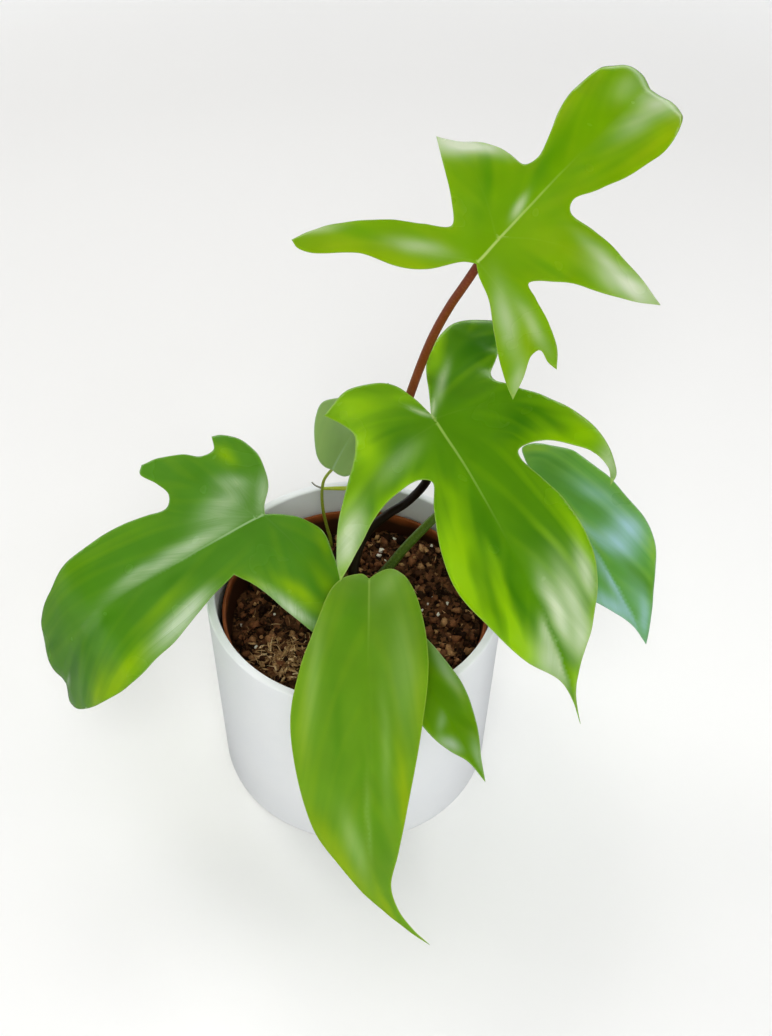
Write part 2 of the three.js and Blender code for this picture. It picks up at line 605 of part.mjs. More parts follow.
function leafStalk({ leaf, turn, z, radii, points }) {
  const out = new THREE.Vector3(CROWN_RADIUS / 2, 0, 0).applyAxisAngle(UP, rad(turn));
  const start = new THREE.Vector3(CROWN.x, CROWN.y, z).add(out);
  const path = [start, ...points.map((p) => new THREE.Vector3(...p)), jointUnder(leaf, radii.at(-1))];
  const clearance = post(CROWN.x, CROWN.y, SOIL_Z - CROWN_DEPTH, CROWN.z + GAP, CROWN_RADIUS + GAP);
  return cut(stalkGeometry(path, radii, STALK_SIDES, STALK_STEP), [clearance]);
}

// The side shoot: it bears the young leaf, a new leaf still rolled up, and the dry tip of a sheath

const shootNode = [-17, 48, 125.5];
const shoot = {
  radii: [SHOOT_RADIUS, SHOOT_RADIUS, 0.8, 0.75, 0.7, 0.7],
  points: [SHOOT.toArray(), [-13.3, 47, 86], [-13.8, 47.5, 92.5], [-15.3, 48, 100], [-17, 48, 113],
    shootNode, [-15.6, 47.3, 133]],
};
const rolled = {
  radii: [0.75, 1, 0.95, 0.45],
  points: [[1.95, -0.2, 0.4], [14, -1.2, 1.8], [28, -3.2, 4.4]],
};
const sheath = {
  radii: [0.5, 0.4, 0.3],
  points: [[-1.65, 0.1, 0.9], [-3.35, 0.4, 1.7], [-4.85, 0.8, 3.3]],
};

function shootStalk() {
  const end = jointUnder(youngLeaf, shoot.radii.at(-1));
  return stalkGeometry([...shoot.points.map((p) => new THREE.Vector3(...p)), end], shoot.radii, 8, 4);
}

// A short piece on the shoot, whose points start from the shoot's node
function fromNode({ points, radii }, sides, step) {
  return stalkGeometry(points.map((p) => new THREE.Vector3(...p).add(new THREE.Vector3(...shootNode))),
    radii, sides, step);
}

// The whole plant in its pots

const plant = new THREE.Group();

function addPiece(name, geometry, material) {
  const mesh = new THREE.Mesh(geometry, material);
  mesh.name = name;
  plant.add(mesh);
  return mesh;
}

addPiece('cover_pot', coverPot(), glaze);
addPiece('nursery_pot', nurseryPot(), terracottaPlastic);
addPiece('soil', soil(), peat);
addPiece('crown', crown(), crownBark);
stalks.forEach((entry) => {
  addPiece(`${entry.name}_stalk`, leafStalk(entry), entry.stalk);
  place(addPiece(`${entry.name}_blade`, bladeGeometry(entry.leaf), entry.leaves), entry.leaf);
});
addPiece('side_shoot', shootStalk(), greenStalk);
place(addPiece('young_blade', bladeGeometry(youngLeaf), deepLeaf), youngLeaf);
addPiece('rolled_leaf', fromNode(rolled, 8, 4), limeLeaf);
addPiece('sheath_tip', fromNode(sheath, 6, 1), drySheath);

export default plant;
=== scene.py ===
import math
import random

import bpy
import numpy as np
from mathutils import Matrix, Vector, noise
from mathutils.geometry import delaunay_2d_cdt
from mathutils.kdtree import KDTree


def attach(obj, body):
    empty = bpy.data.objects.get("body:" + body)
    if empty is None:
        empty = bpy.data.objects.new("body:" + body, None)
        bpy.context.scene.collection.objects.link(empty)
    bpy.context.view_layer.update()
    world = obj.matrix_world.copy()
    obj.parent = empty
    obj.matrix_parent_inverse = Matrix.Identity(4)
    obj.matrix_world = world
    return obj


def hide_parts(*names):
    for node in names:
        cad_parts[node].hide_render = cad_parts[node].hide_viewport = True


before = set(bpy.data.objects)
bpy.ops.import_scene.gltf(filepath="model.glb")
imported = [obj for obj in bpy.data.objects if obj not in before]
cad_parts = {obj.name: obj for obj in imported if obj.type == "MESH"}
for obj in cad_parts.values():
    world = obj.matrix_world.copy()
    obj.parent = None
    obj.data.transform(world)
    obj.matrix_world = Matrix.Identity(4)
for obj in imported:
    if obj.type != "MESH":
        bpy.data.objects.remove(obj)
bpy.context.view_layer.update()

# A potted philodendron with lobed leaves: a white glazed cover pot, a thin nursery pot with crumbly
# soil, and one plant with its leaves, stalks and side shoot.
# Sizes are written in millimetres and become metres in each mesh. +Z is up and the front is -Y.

MM = 0.001
BODY = "root"

# The pots

COVER_HEIGHT = 112
COVER_RIM_RADIUS = 67.5
COVER_FOOT_RADIUS = 65
COVER_WALL = 4
COVER_FLOOR = 5
COVER_EDGE = 1.9
COVER_LIP = 1.1                        # rounding of the two edges of its rim
COVER_CORNER = 6                       # rounding where its inner wall meets its floor
COVER_RINGS = (40, 80)                 # heights of the rings between its foot and its rim, outside
COVER_INNER_RING = 60                  # and inside
NURSERY_FLOOR = 5.3
NURSERY_RIM_RADIUS = 61.2
NURSERY_RIM_Z = 98
NURSERY_SHOULDER_RADIUS = 59.7
NURSERY_FOOT_RADIUS = 44
NURSERY_CHAMFER = 1
NURSERY_WALL = 1.2
NURSERY_LIP = 0.8
NURSERY_BAND = 9
NURSERY_STEP = 0.5                     # where the wall steps out to the band at its rim
DRAIN_HOLES = 6
DRAIN_RADIUS = 3.5
DRAIN_CIRCLE = 27
DRAIN_SIDES = 24
DRILL_LENGTH = 6
POT_SIDES = 168
SHARP_ANGLE = 35                       # an edge of a turned piece that bends more stays sharp

# The soil

SOIL_Z = 88.5
SOIL_SLOPE = 0.05
SOIL_DISH = 2
CLUMP = {"x": -32, "y": -25, "height": 2.5, "spread": 12}
MOUND = {"x": 40, "y": 36, "height": 4, "spread": 12}
CRUMB_HEIGHT = 2.2
COARSE_CRUMB = 9
FINE_CRUMB = 4.3
FINE_CRUMB_SHARE = 0.6
FINE_CRUMB_SHIFT = 40                  # so that the fine crumbs don't repeat the coarse ones
CRUMB_SEED = 7
SCATTER = (127.1, 311.7, 74.7, 43758.5453)         # make a random number from a corner and the seed
SOIL_STEP = 0.55                       # between the points of its top
SOIL_GAP = 0.35                        # between it and the nursery pot
SOIL_DEPTH = 12                        # how far down its hidden side is drawn
SOIL_LUMPS = [(3.6, 2.4, 3), (1.5, 1.0, 8)]        # size, height and seed of its lumps and grit
LUMP_MIDDLE = 0.35                     # so far from its middle a lump is level, in its own size
SOIL_DUST = {"size": 0.9, "height": 0.5, "seed": 4}

# Loose bits on the soil: how many, half their length, their shape in that unit, and how far above the
# soil their middle lies, which for crumbs is in that unit too. Two numbers in brackets are the least and
# the most. The perlite that shows has its x, y and half its length.

BITS_SEED = 21
BITS_MARGIN = 2.5                      # how far they stay from the nursery pot
CRUMB = {"count": 1500, "size": (0.5, 2.5), "width": (0.6, 1), "height": 0.75, "lift": 0.5}
PERLITE = {"count": 9, "size": (0.4, 0.8), "shape": (1, 0.8, 0.7), "lift": 0.9}
SEEN_PERLITE = {
    "at": [(-52.9, -3, 0.8), (42.8, 8.1, 1.1), (38.5, 1.3, 0.9), (31, 3.5, 0.8), (17.4, 50.2, 1.1),
           (11.4, 41, 1.5), (10.2, 37.6, 1.1), (13.5, 34, 0.7), (36, 12, 0.5), (-45, -18, 0.9)],
    "shape": (1, 0.75, 0.65), "lift": 1.2}
CHIP = {"count": 190, "size": (0.7, 1.9), "shape": (1.3, 0.4, 0.25), "lift": (0.4, 2)}
FIBRE = {"count": 150, "length": (2.5, 7), "bow": 0.3, "radius": (0.14, 0.34), "lift": (0.8, 2.2)}
FIBRE_TAPER = 0.6                      # how much thinner its ends are
LOOSE_FIBRE = 4                        # every fourth fibre lies outside the tuft
TUFT_SPREAD = (7, 6)                   # of the chips and fibres round the clump
LUMP_DENTS = 1.3                       # dents and humps on a lump, for each half of its length
FULL_TURN = 6.28                       # radians

# The plant

CROWN = Vector((-2, 8, 104))
CROWN_RADIUS = 7
CROWN_DEPTH = 26
CROWN_RINGS = 6
CROWN_RING_DEPTH = 0.6
CROWN_TOP = 5
CROWN_TOP_RINGS = 6
CROWN_SIDES = 64
CROWN_ROUGH = 0.1                      # how uneven its bark is, as a part of its radius
CROWN_BUMPS = 220                      # bumps of its bark to a metre
JOINT_Y = 2                            # where a stalk meets the midrib
JOINT_DROP = 0.8                       # how far under the leaf a stalk's last point is, in its radii
BEND_STEPS = 96                        # a leaf's arch is summed in so many steps
CURL_SPAN = 50                         # `curl` is how far a half of the leaf turns over this width
FOLD_FADE = 20                         # behind the joint the fold opens over this length
RIPPLE_LENGTH = 40
RIPPLE_SHIFT = 2                       # radians, of the left half's ripples
RIPPLE_START = 30                      # how far from the midrib the ripples grow
PROBE = 0.5                            # from a point to those that give its surface's direction
RIM_STEP = 0.9                         # between the points at a leaf's edge
FACE_STEP = 1.15                       # on its face
VEIN_STEP = 1.0                        # on its main veins
FACE_CLEAR = 0.6                       # of a step stays free beside its edge and its main veins
BLADE = 0.5                            # thickness of a leaf
BLADE_EDGE = 0.28                      # its thickness at the edge
BLADE_TAPER = 3                        # it thins over this width
SMALL_LEAF = 100                       # a shorter leaf has lower relief
BROAD_SWELL = {"size": 19, "share": 0.7}
SMALL_SWELL = {"size": 8, "share": 0.3}
SWELL = 0.8                            # height of the soft swells of its face
WAVER = {"size": 13, "height": 1.3, "reach": 6}    # of its edge, up and down
GROOVE = 0.17                          # how much deeper a main vein is sunk at the joint than at its tip
GROOVE_TIP = 0.03
GROOVE_SPREAD = 2.2                    # its half width, in widths of the vein's line and squared
RIB = 0.8                              # how far a main vein stands out under the leaf
RIB_TIP = 0.15                         # the part of that which is left at its tip
RIB_SPREAD = 1.4                       # its half width, in widths of the vein's line
VEIN_TIP = 0.2                         # width of a main vein's line at its tip
MIDRIB_GAIN = 0.3                      # what the midrib's line gains towards the joint
SIDE_GAIN = 0.2                        # and the line of another main vein
SIDE_PALENESS = 0.06                   # how pale the other main veins are, where the midrib is 1
LATERAL_SPACING = 18                   # between the side veins, along the vein that they leave
LATERAL_SLANT = 1.2                    # how far a side vein runs forward for each millimetre outward
LATERAL_CURVE = 0.1                    # and how fast it bends further forward
LATERAL_SHIFT = 137                    # sets the lanes of one main vein apart from the next one's
LATERAL_FADE = 3                       # they fade over this width at a main vein and at the edge
SEAM = 9                               # and over this one where two main veins are equally near
PATCH_WAVER = 1.6                      # how far the edges of the colour patches waver
PATCH_WAVE = 11                        # and over what length
PATCH_STOP = 0.8                       # they fade out this close to the midrib

# Leaves, with x to the right, y to the tip and z up out of the face, and the stalk's joint at the
# origin. Angles are in degrees. `at`, `heading`, `rise` and `roll` place a leaf. It arches by `arch` to
# its tip and by `back` behind the joint, and turns down by `bend` over a length of `bend_over` from its
# crest: x, and how far past `bend_from`. `fold` lifts its two halves, and `curl` turns the right and the
# left one down again. Each outline is one smooth stroke from each tip or notch to the next. Each main
# vein is a list of points. `midrib` is how far its pale line reaches, as a part of the leaf, and `quilt`
# how high the leaf bulges between its side veins. `light` and `deep` are soft patches of yellow-green
# and of deep green, and the last list holds soft patches of a pale painted sheen, which paints the wax's
# reflection into the colour: x, y, half their length and width, their direction and their strength.

PLAIN_LEAF = {"roll": 0, "bend": 0, "bend_from": 0, "bend_over": 1, "crest": [(-30, 0), (30, 0)],
              "quilt": 0}

TOP_LEAF = {
    "at": (45, 5, 288.6), "heading": 52, "rise": 14, "roll": 13, "length": 150,
    "arch": 10, "back": 15, "bend": 78, "bend_from": 104.5, "bend_over": 30,
    "crest": [(-24, -8), (-18, -1.4), (-12, 5), (-7, 5.3), (0, 1), (5, 0.3), (11, 0.2), (18, -2.5),
              (26, -9)],
    "fold": 5, "curl": (12, 12), "ripple": 1.2,
    "outline": [
        [(0, -1), (-4, -4), (-12, -14), (-23, -20), (-37, -23), (-48, -30), (-58, -34), (-63, -32)],
        [(-60, -25), (-49, -14), (-37, -6), (-25, 0), (-17, 6), (-24, 16), (-35, 26), (-47, 37)],
        [(-38, 40), (-30, 46), (-20, 48), (-13, 48), (-11, 53), (-14, 66), (-18.4, 79), (-20.6, 92),
         (-20.6, 106), (-17.5, 119), (-11, 133), (-5, 143), (0, 150)],
        [(5, 143), (11, 132), (17, 118), (22.6, 104), (24.6, 90), (21.6, 75), (16.4, 58), (11.2, 46),
         (14, 40), (25, 39), (38, 37), (50, 34), (62, 30)],
        [(56, 25), (42, 18), (29, 11), (20, 4), (26, 0), (36, -5), (43, -10), (48, -17)],
        [(44, -17), (39, -15), (38, -19), (41, -28), (43, -37)],
        [(38, -34), (30, -28), (23, -21), (13, -11), (4, -5), (0, -1)],
    ],
    "veins": [
        [(0, 0), (0, 40), (0, 90), (0, 146)],
        [(0, 0), (-14, -8), (-34, -16), (-61, -31)],
        [(0, 12), (-14, 24), (-30, 34), (-44, 37)],
        [(0, 14), (12, 22), (30, 27), (58, 29)],
        [(0, 0), (16, -6), (32, -12), (46, -15)],
        [(32, -12), (38, -22), (42, -34)],
    ],
    "midrib": 0.5, "quilt": 0.02,
    "light": [(20, 24, 16, 9, 10, 0.5), (-42, -23, 20, 7, 25, 0.9), (-15, -17, 12, 4, 15, 0.8),
              (20, 94, 22, 5, 88, 0.9), (-17, 84, 20, 3, 95, 0.5), (-28, 12, 14, 4, 135, 0.4),
              (34, -16, 12, 4, -50, 0.5), (8, 60, 20, 3, 82, 0.4)],
    "deep": [(-7, 52, 24, 4, 95, 0.7), (-16, 25, 14, 4, 120, 0.5), (-22, 36, 13, 3.5, 130, 0.5),
             (5, 75, 20, 2.5, 85, 0.3), (24, 13, 14, 3, 20, 0.3), (-35, -15, 14, 2.5, 22, 0.4)],
    "painted_sheen": [(8, 112, 9, 7, 20, 0.5), (8, 97, 13, 4.5, 84, 0.36), (-5, 110, 9, 5, 90, 0.2),
              (-41, 37.5, 9, 5, 15, 1), (-30, 43, 10, 3.2, 28, 0.8), (50, 28, 13, 5.5, 4, 0.85),
              (36, 31, 12, 3, 170, 0.4), (-21, -9, 10, 3, 22, 0.45), (-57, -22, 8, 2.2, 42, 0.4),
              (22, -13, 13, 3, -42, 0.5), (31, -9, 11, 2.4, -25, 0.35), (40, -30, 7, 2.6, -65, 0.4),
              (-2.8, 30, 6, 1.5, 103, 0.55)],
}

MIDDLE_LEAF = {
    **PLAIN_LEAF,
    "at": (30.9, 0, 216.6), "heading": -62, "rise": -6, "roll": 8, "length": 138,
    "arch": 40, "back": 22, "bend": 10, "bend_from": 100, "bend_over": 30,
    "fold": 6, "curl": (20, 20), "ripple": 1.2,
    "outline": [
        [(0, -1), (-4, -10), (-11, -26), (-20, -36), (-32, -43.5), (-43, -44.5), (-52, -42)],
        [(-50, -33), (-41, -19), (-32, -9), (-31, -3), (-37, 3), (-46, 11), (-54, 22), (-58, 35),
         (-58, 47), (-55, 55), (-49, 59)],
        [(-53, 51), (-49, 42.5), (-40, 35), (-29, 30), (-22, 31), (-21, 35), (-25, 46), (-29, 60),
         (-29, 75), (-25, 90), (-15, 105), (-4, 117), (2, 127), (4, 139)],
        [(4, 129), (6, 119), (15, 107), (22, 91), (27, 73), (26, 57), (20, 39), (15, 28), (19, 25),
         (30, 26), (42, 31), (53, 39), (65, 47)],
        [(62, 37), (55, 25), (44, 12), (35, 1), (31, -9), (33, -17), (37, -25)],
        [(31, -28), (23, -31), (14, -28.5), (6, -22), (2, -12), (0, -1)],
    ],
    "veins": [
        [(0, 0), (0, 40), (1, 90), (4, 134)],
        [(0, 0), (-12, -16), (-28, -30), (-49, -40)],
        [(0, 2), (-16, 5), (-34, 12), (-47, 28), (-51, 55)],
        [(0, 4), (16, 8), (36, 18), (62, 44)],
        [(0, 0), (10, -12), (22, -21), (35, -24.5)],
    ],
    "midrib": 0.5, "quilt": 0.02,
    "light": [(23.5, 72, 22, 4.6, 89, 0.95), (14, 88, 20, 2.6, 84, 1), (17, 55, 13, 4, 68, 0.9),
              (9.5, 72, 13, 1.4, 84, 0.5), (13, 101, 9, 4, 105, 0.9), (-26, 70, 15, 2.8, 93, 0.7),
              (-14, 108, 13, 2.4, 56, 0.8), (-15, 70, 12, 2, 108, 0.35), (0, 124, 9, 3, 80, 0.9),
              (-52, 32, 14, 7, 105, 0.9), (-39, 33, 10, 4, 155, 0.7), (47, 21, 15, 3.6, 47, 0.55),
              (30, 26, 12, 2.5, 15, 0.7), (30, 2, 13, 6, 75, 1), (24, -21, 14, 8, -30, 1),
              (7, -15, 8, 2.5, -55, 0.5), (-19, -33, 15, 3.4, 52, 0.9), (60, 42, 6, 3, 45, 0.6),
              (12, 37, 12, 3, 78, 0.6)],
    "deep": [(5, 62, 20, 3.5, 88, 0.6), (7, 84, 14, 1.6, 92, 0.5), (19, 80, 14, 1.3, 92, 0.5),
             (-11, 66, 12, 5, 108, 0.5), (-32, 17, 10, 6, 20, 0.9), (28, 13.5, 14, 2.6, 24, 0.8),
             (-38, -27, 20, 9, 35, 1), (-12, -8, 12, 5, 50, 0.4), (18, 3, 8, 5, 0, 0.5),
             (0.6, 98, 14, 0.9, 91, 0.6), (-22, 46, 12, 4, 95, 0.3), (-42, 25, 9, 3, 120, 0.4)],
    "painted_sheen": [(-4, 94, 13, 2.8, 86, 0.95), (-11, 94, 15, 4.6, 82, 0.75), (-21.5, 86, 9, 3, 82, 0.85),
              (-9, 108, 8, 3.6, 62, 0.5), (5, 112, 9, 6, 100, 0.85), (3, 100, 6, 2.5, 80, 0.5),
              (54, 33, 11, 4.8, 49, 1),
              (-54, 50, 7, 4, 65, 0.6), (-12, -14, 11, 2, 52, 0.5), (3, -4, 5, 1, -55, 0.7),
              (-2, -3, 5, 1, 58, 0.6), (22, 14, 11, 4, 22, 0.25), (1, 128, 6, 1.4, 80, 0.25)],
}

LEFT_LEAF = {
    **PLAIN_LEAF,
    "at": (-41.5, 14, 142.3), "heading": 213, "rise": -3, "roll": -9, "length": 118,
    "arch": 16, "back": 20, "bend": 56, "bend_from": 58, "bend_over": 60,
    "fold": 6, "curl": (8, 18), "ripple": 1,
    "outline": [
        [(0, -1), (-4, -7), (-10, -14), (-19, -19), (-30, -18), (-44, -15), (-58, -12), (-67, -8)],
        [(-61, -4), (-62, 0), (-73, 4)],
        [(-60, 10), (-46, 15), (-32, 20), (-21, 26)],
        [(-24, 35), (-29, 48), (-36, 66), (-39, 84), (-35, 102), (-27, 119), (-17, 133), (-9, 138),
         (-4, 132)],
        [(6, 134), (17, 127), (24, 113), (25, 98), (27, 82), (28, 67), (27, 54), (25, 44), (25, 35),
         (31, 31), (39, 33), (47, 37), (52, 34)],
        [(51, 26), (46, 16), (40.5, 9), (41, 3), (49, -0.5)],
        [(49, -5), (43, -11.5), (33, -14.5), (21, -13), (12, -9.5), (4, -3), (0, -1)],
    ],
    "veins": [
        [(0, 0), (-2, 40), (-4, 90), (-5, 130)],
        [(0, 0), (-22, -4), (-46, -5), (-66, 0)],
        [(0, 3), (16, 10), (32, 21), (49, 33)],
        [(0, 0), (18, -5), (34, -7), (48, -4)],
    ],
    "midrib": 0.45, "quilt": 0.04,
    "light": [(-33, 92, 20, 5, 93, 1), (-28, 110, 15, 4, 108, 0.8), (-19, 60, 16, 3.4, 106, 0.5),
              (-44, 6, 13, 3.6, 22, 0.95), (-44, -7, 10, 4, 10, 0.6), (36, -1, 6, 3.6, 0, 0.8),
              (20, 78, 30, 7, 92, 0.1), (-24, -16, 10, 2.5, -10, 0.4),
              (-30, 20, 8, 2, 35, 0.5)],
    "deep": [(-6, 116, 18, 5, 82, 0.8), (-9, 90, 14, 2.6, 88, 0.5), (10, 120, 12, 4, 78, 0.6),
             (-9, 46, 22, 3, 96, 0.35), (-15, 4, 12, 7, 0, 0.35), (30, 15, 13, 6, 30, 0.3),
             (-20, 112, 12, 2, 108, 0.4)],
    "painted_sheen": [(1.5, 42, 28, 3.6, 92, 0.65), (12, 14, 13, 7, 110, 0.5), (10, -6, 11, 3, -32, 0.5),
              (22, 4, 7, 4, 55, 0.35), (-29, 58, 13, 4.4, 108, 0.95), (-24, 46, 8, 3, 105, 0.45),
              (-48, 12, 14, 2.6, 22, 0.8), (-5, 127, 4, 2.2, 88, 0.55), (4, 62, 8, 2, 95, 0.3)],
}

FRONT_LEAF = {
    **PLAIN_LEAF,
    "at": (6.6, -17.6, 136), "heading": -88, "rise": 4, "length": 160, "arch": 70, "back": 10,
    "fold": 14, "curl": (22, 22), "ripple": 1,
    "outline": [
        [(0, -1), (-3, -3), (-10, -5), (-16, 1), (-21, 15), (-24, 36), (-24, 50), (-20, 76), (-16, 96),
         (-11, 120), (-8, 134), (-11, 144), (-17, 152), (-24, 159)],
        [(-14, 152), (0, 141), (13, 125), (23, 111), (30, 90), (33, 67), (30, 49), (23, 26), (16, 7),
         (9, -2), (3, -4), (0, -1)],
    ],
    "veins": [[(0, 0), (1, 40), (3, 80), (1, 118), (-7, 142), (-21, 157)]],
    "midrib": 0.3,
    "light": [(-14, 98, 26, 2.6, 97, 1), (-6, 141, 15, 4, 105, 0.8), (17, 115, 16, 4, -52, 0.7),
              (27, 70, 26, 3, 92, 0.35), (-20, 60, 20, 3, 92, 0.4), (8, 130, 12, 3, -50, 0.6)],
    "deep": [(14, 72, 26, 2.6, 91, 0.6), (7, 22, 18, 5, 82, 0.5), (-13, 72, 26, 2, 95, 0.5),
             (-4, 112, 20, 3, 95, 0.4), (20, 40, 16, 3, 80, 0.3), (4, 92, 14, 2.4, 88, 0.4)],
    "painted_sheen": [(7, 117, 13, 3.2, 108, 0.5), (-14, 45, 24, 5, 92, 0.35), (-8, 4, 9, 5, 60, 0.35),
              (24, 50, 26, 3, 85, 0.3), (1.4, 112, 18, 1.2, 92, 0.3), (-6, 78, 22, 2, 92, 0.25)],
}

FRONT_RIGHT_LEAF = {
    **PLAIN_LEAF,
    "at": (8.4, -26.6, 120), "heading": -54, "rise": 7, "length": 90, "arch": 50, "back": 10,
    "fold": 12, "curl": (15, 15), "ripple": 0.6,
    "outline": [
        [(0, -1), (-4, -3), (-9, 4), (-12, 20), (-13, 38), (-13, 50), (-9, 66), (-4, 78), (-1, 88)],
        [(2, 77), (8, 69), (12, 59), (14, 47), (14, 28), (11, 6), (5, -3), (0, -1)],
    ],
    "veins": [[(0, 0), (0, 30), (0, 60), (-1, 86)]],
    "midrib": 0.3,
    "light": [(-9, 48, 10, 1.4, 85, 0.5)],
    "deep": [(-4, 58, 14, 4, 92, 0.6)],
    "painted_sheen": [(6, 67, 5, 2.6, -45, 0.9), (-3, 77, 7, 2, 75, 0.5), (4, 57, 5, 2, 40, 0.35),
              (-11, 38, 12, 2.4, 84, 0.6)],
}

BACK_RIGHT_LEAF = {
    **PLAIN_LEAF,
    "at": (79.6, 35, 151), "heading": -55, "rise": -2, "length": 96, "arch": 45, "back": 15,
    "fold": 10, "curl": (12, 12), "ripple": 0.8,
    "outline": [
        [(0, -1), (-2, -9), (-6, -16), (-14, -13), (-22, -1), (-26, 16), (-28, 36), (-27, 55),
         (-20, 66), (-12, 77), (-5, 87), (-1, 93)],
        [(2, 82), (9, 72), (17, 62), (24, 47), (27, 28), (24, 8), (18, -7), (10, -15), (5, -14),
         (2, -7), (0, -1)],
    ],
    "veins": [[(0, 0), (0, 30), (0, 60), (-1, 91)]],
    "midrib": 0.6, "quilt": 0.01,
    "light": [(-9, -12, 8, 2.4, -20, 0.7), (-2, 30, 20, 1.6, 90, 0.6), (-24, 58, 8, 2, 60, 0.5)],
    "deep": [(-12, 66, 13, 4.4, 105, 1), (-9, 5, 14, 7, 100, 0.7), (-12, 30, 10, 2.4, 115, 0.4)],
    "painted_sheen": [(-19, 45, 8, 6, 100, 0.9), (-11, 48, 9, 4, 110, 0.8), (0, 66, 22, 3.6, 93, 0.75),
              (8, 70, 12, 3.4, 125, 0.8), (-16, 24, 12, 5, 110, 0.4), (-5, 82, 9, 2.4, 65, 0.6),
              (-4, 42, 12, 2.4, 105, 0.5), (-7, 72, 10, 4.5, 80, 0.22)],
}

YOUNG_LEAF = {
    **PLAIN_LEAF,
    "at": (-11.6, 45, 141.5), "heading": 52, "rise": 45, "length": 48, "arch": 25, "back": 10,
    "fold": 10, "curl": (10, 10), "ripple": 0.4,
    "outline": [
        [(0, -0.5), (-4, -1), (-9, 1), (-15, 8), (-20, 17), (-21, 24), (-14, 31), (-6, 40), (0, 48)],
        [(9, 40), (16, 30), (17, 18), (14, 7), (8, 0), (3, -1), (0, -0.5)],
    ],
    "veins": [[(0, 0), (0, 20), (0, 46)]],
    "midrib": 0.5,
    "light": [],
    "deep": [(5, 24, 12, 3, 90, 0.5)],
    "painted_sheen": [(-6, 30, 10, 5, 95, 0.4)],
}

# Stalks: where each leaves the crown, the points that it passes and its radii, as in the model

STALKS = {
    "top": {
        "leaf": TOP_LEAF, "turn": 126, "z": 98, "radii": (2.5, 2.1, 2, 1.9, 1.8, 1.7),
        "points": [(-7.2, 16, 106), (-5.2, 20.5, 117), (1.5, 24, 133), (9.5, 26.5, 156),
                   (17.5, 27, 181), (22.6, 25, 207), (29.8, 19, 240), (36.2, 13, 262), (40.9, 9, 275)]},
    "middle": {
        "leaf": MIDDLE_LEAF, "turn": 76, "z": 93, "radii": (2.6, 2.2, 2, 2, 1.9, 1.7),
        "points": [(-0.9, 20, 105.5), (4.5, 28, 117), (14, 31.5, 126), (22.4, 34.5, 131),
                   (30.5, 34, 144), (34, 27, 168), (33.5, 13, 197)]},
    "left": {
        "leaf": LEFT_LEAF, "turn": 178, "z": 95, "radii": (2.6, 2.1, 1.9, 1.7),
        "points": [(-17, 10.5, 107), (-29, 12.5, 124)]},
    "front": {
        "leaf": FRONT_LEAF, "turn": 290, "z": 98, "radii": (2.8, 2.1, 1.9, 1.7),
        "points": [(2.5, -3.5, 110), (5, -11, 124)]},
    "front_right": {
        "leaf": FRONT_RIGHT_LEAF, "turn": 320, "z": 94, "radii": (2.2, 1.6, 1.4, 1.3),
        "points": [(8, -3.5, 99), (9, -14, 108.5)]},
    "back_right": {
        "leaf": BACK_RIGHT_LEAF, "turn": 20, "z": 92.5, "radii": (2.7, 2.3, 2.1, 1.9, 1.7),
        "points": [(14, 20.5, 100), (22, 28, 106.5), (29.4, 33, 113), (38, 38, 120), (56, 41, 134),
                   (70, 38, 144)]},
}

SHOOT_NODE = Vector((-17, 48, 125.5))
SHOOT = {
    "radii": (0.85, 0.85, 0.8, 0.75, 0.7, 0.7),
    "points": [(-13.3, 47, 74), (-13.3, 47, 86), (-13.8, 47.5, 92.5), (-15.3, 48, 100),
               (-17, 48, 113), tuple(SHOOT_NODE), (-15.6, 47.3, 133)]}
ROLLED = {"radii": (0.75, 1, 0.95, 0.45), "points": [(0.6, -0.1, 0.2), (14, -1.2, 1.8), (28, -3.2, 4.4)]}
SHEATH = {"radii": (0.5, 0.4, 0.3), "points": [(-0.4, 0, 0.4), (-3.35, 0.4, 1.7), (-4.85, 0.8, 3.3)]}


# Colours and nodes

def colour(code):
    """An sRGB hex colour as linear red, green, blue and alpha."""
    parts = [int(code[i:i + 2], 16) / 255 for i in (1, 3, 5)]
    return (*(c / 12.92 if c <= 0.04045 else ((c + 0.055) / 1.055) ** 2.4 for c in parts), 1)


def new_material(name):
    material = bpy.data.materials.new(name)
    material.use_nodes = True
    return material


def shader(material):
    return material.node_tree.nodes["Principled BSDF"]


def add_node(owner, kind, inputs=None, output=0, **settings):
    """Adds a node with its settings to a material or to the world, and gives one of its outputs."""
    node = owner.node_tree.nodes.new("ShaderNode" + kind)
    for name, value in settings.items():
        setattr(node, name, value)
    feed(owner, node, inputs or {})
    return node.outputs[output]


def feed(owner, node, inputs):
    """Fills a node's inputs, each from a number, an sRGB hex colour or another node's output."""
    for socket, value in inputs.items():
        if isinstance(value, bpy.types.NodeSocket):
            owner.node_tree.links.new(value, node.inputs[socket])
        else:
            node.inputs[socket].default_value = colour(value) if isinstance(value, str) else value


def per_metre(size):
    """The scale of a pattern whose grain measures `size` millimetres."""
    return 1 / (size * MM)


MIX_A, MIX_B = 6, 7                    # the two colours that a Mix node mixes
COLOURS = {"data_type": "RGBA", "output": 2}       # with these it mixes colours and gives the result


# Curves and surfaces

CURVE_STEPS = 32                       # between two given points of a curve


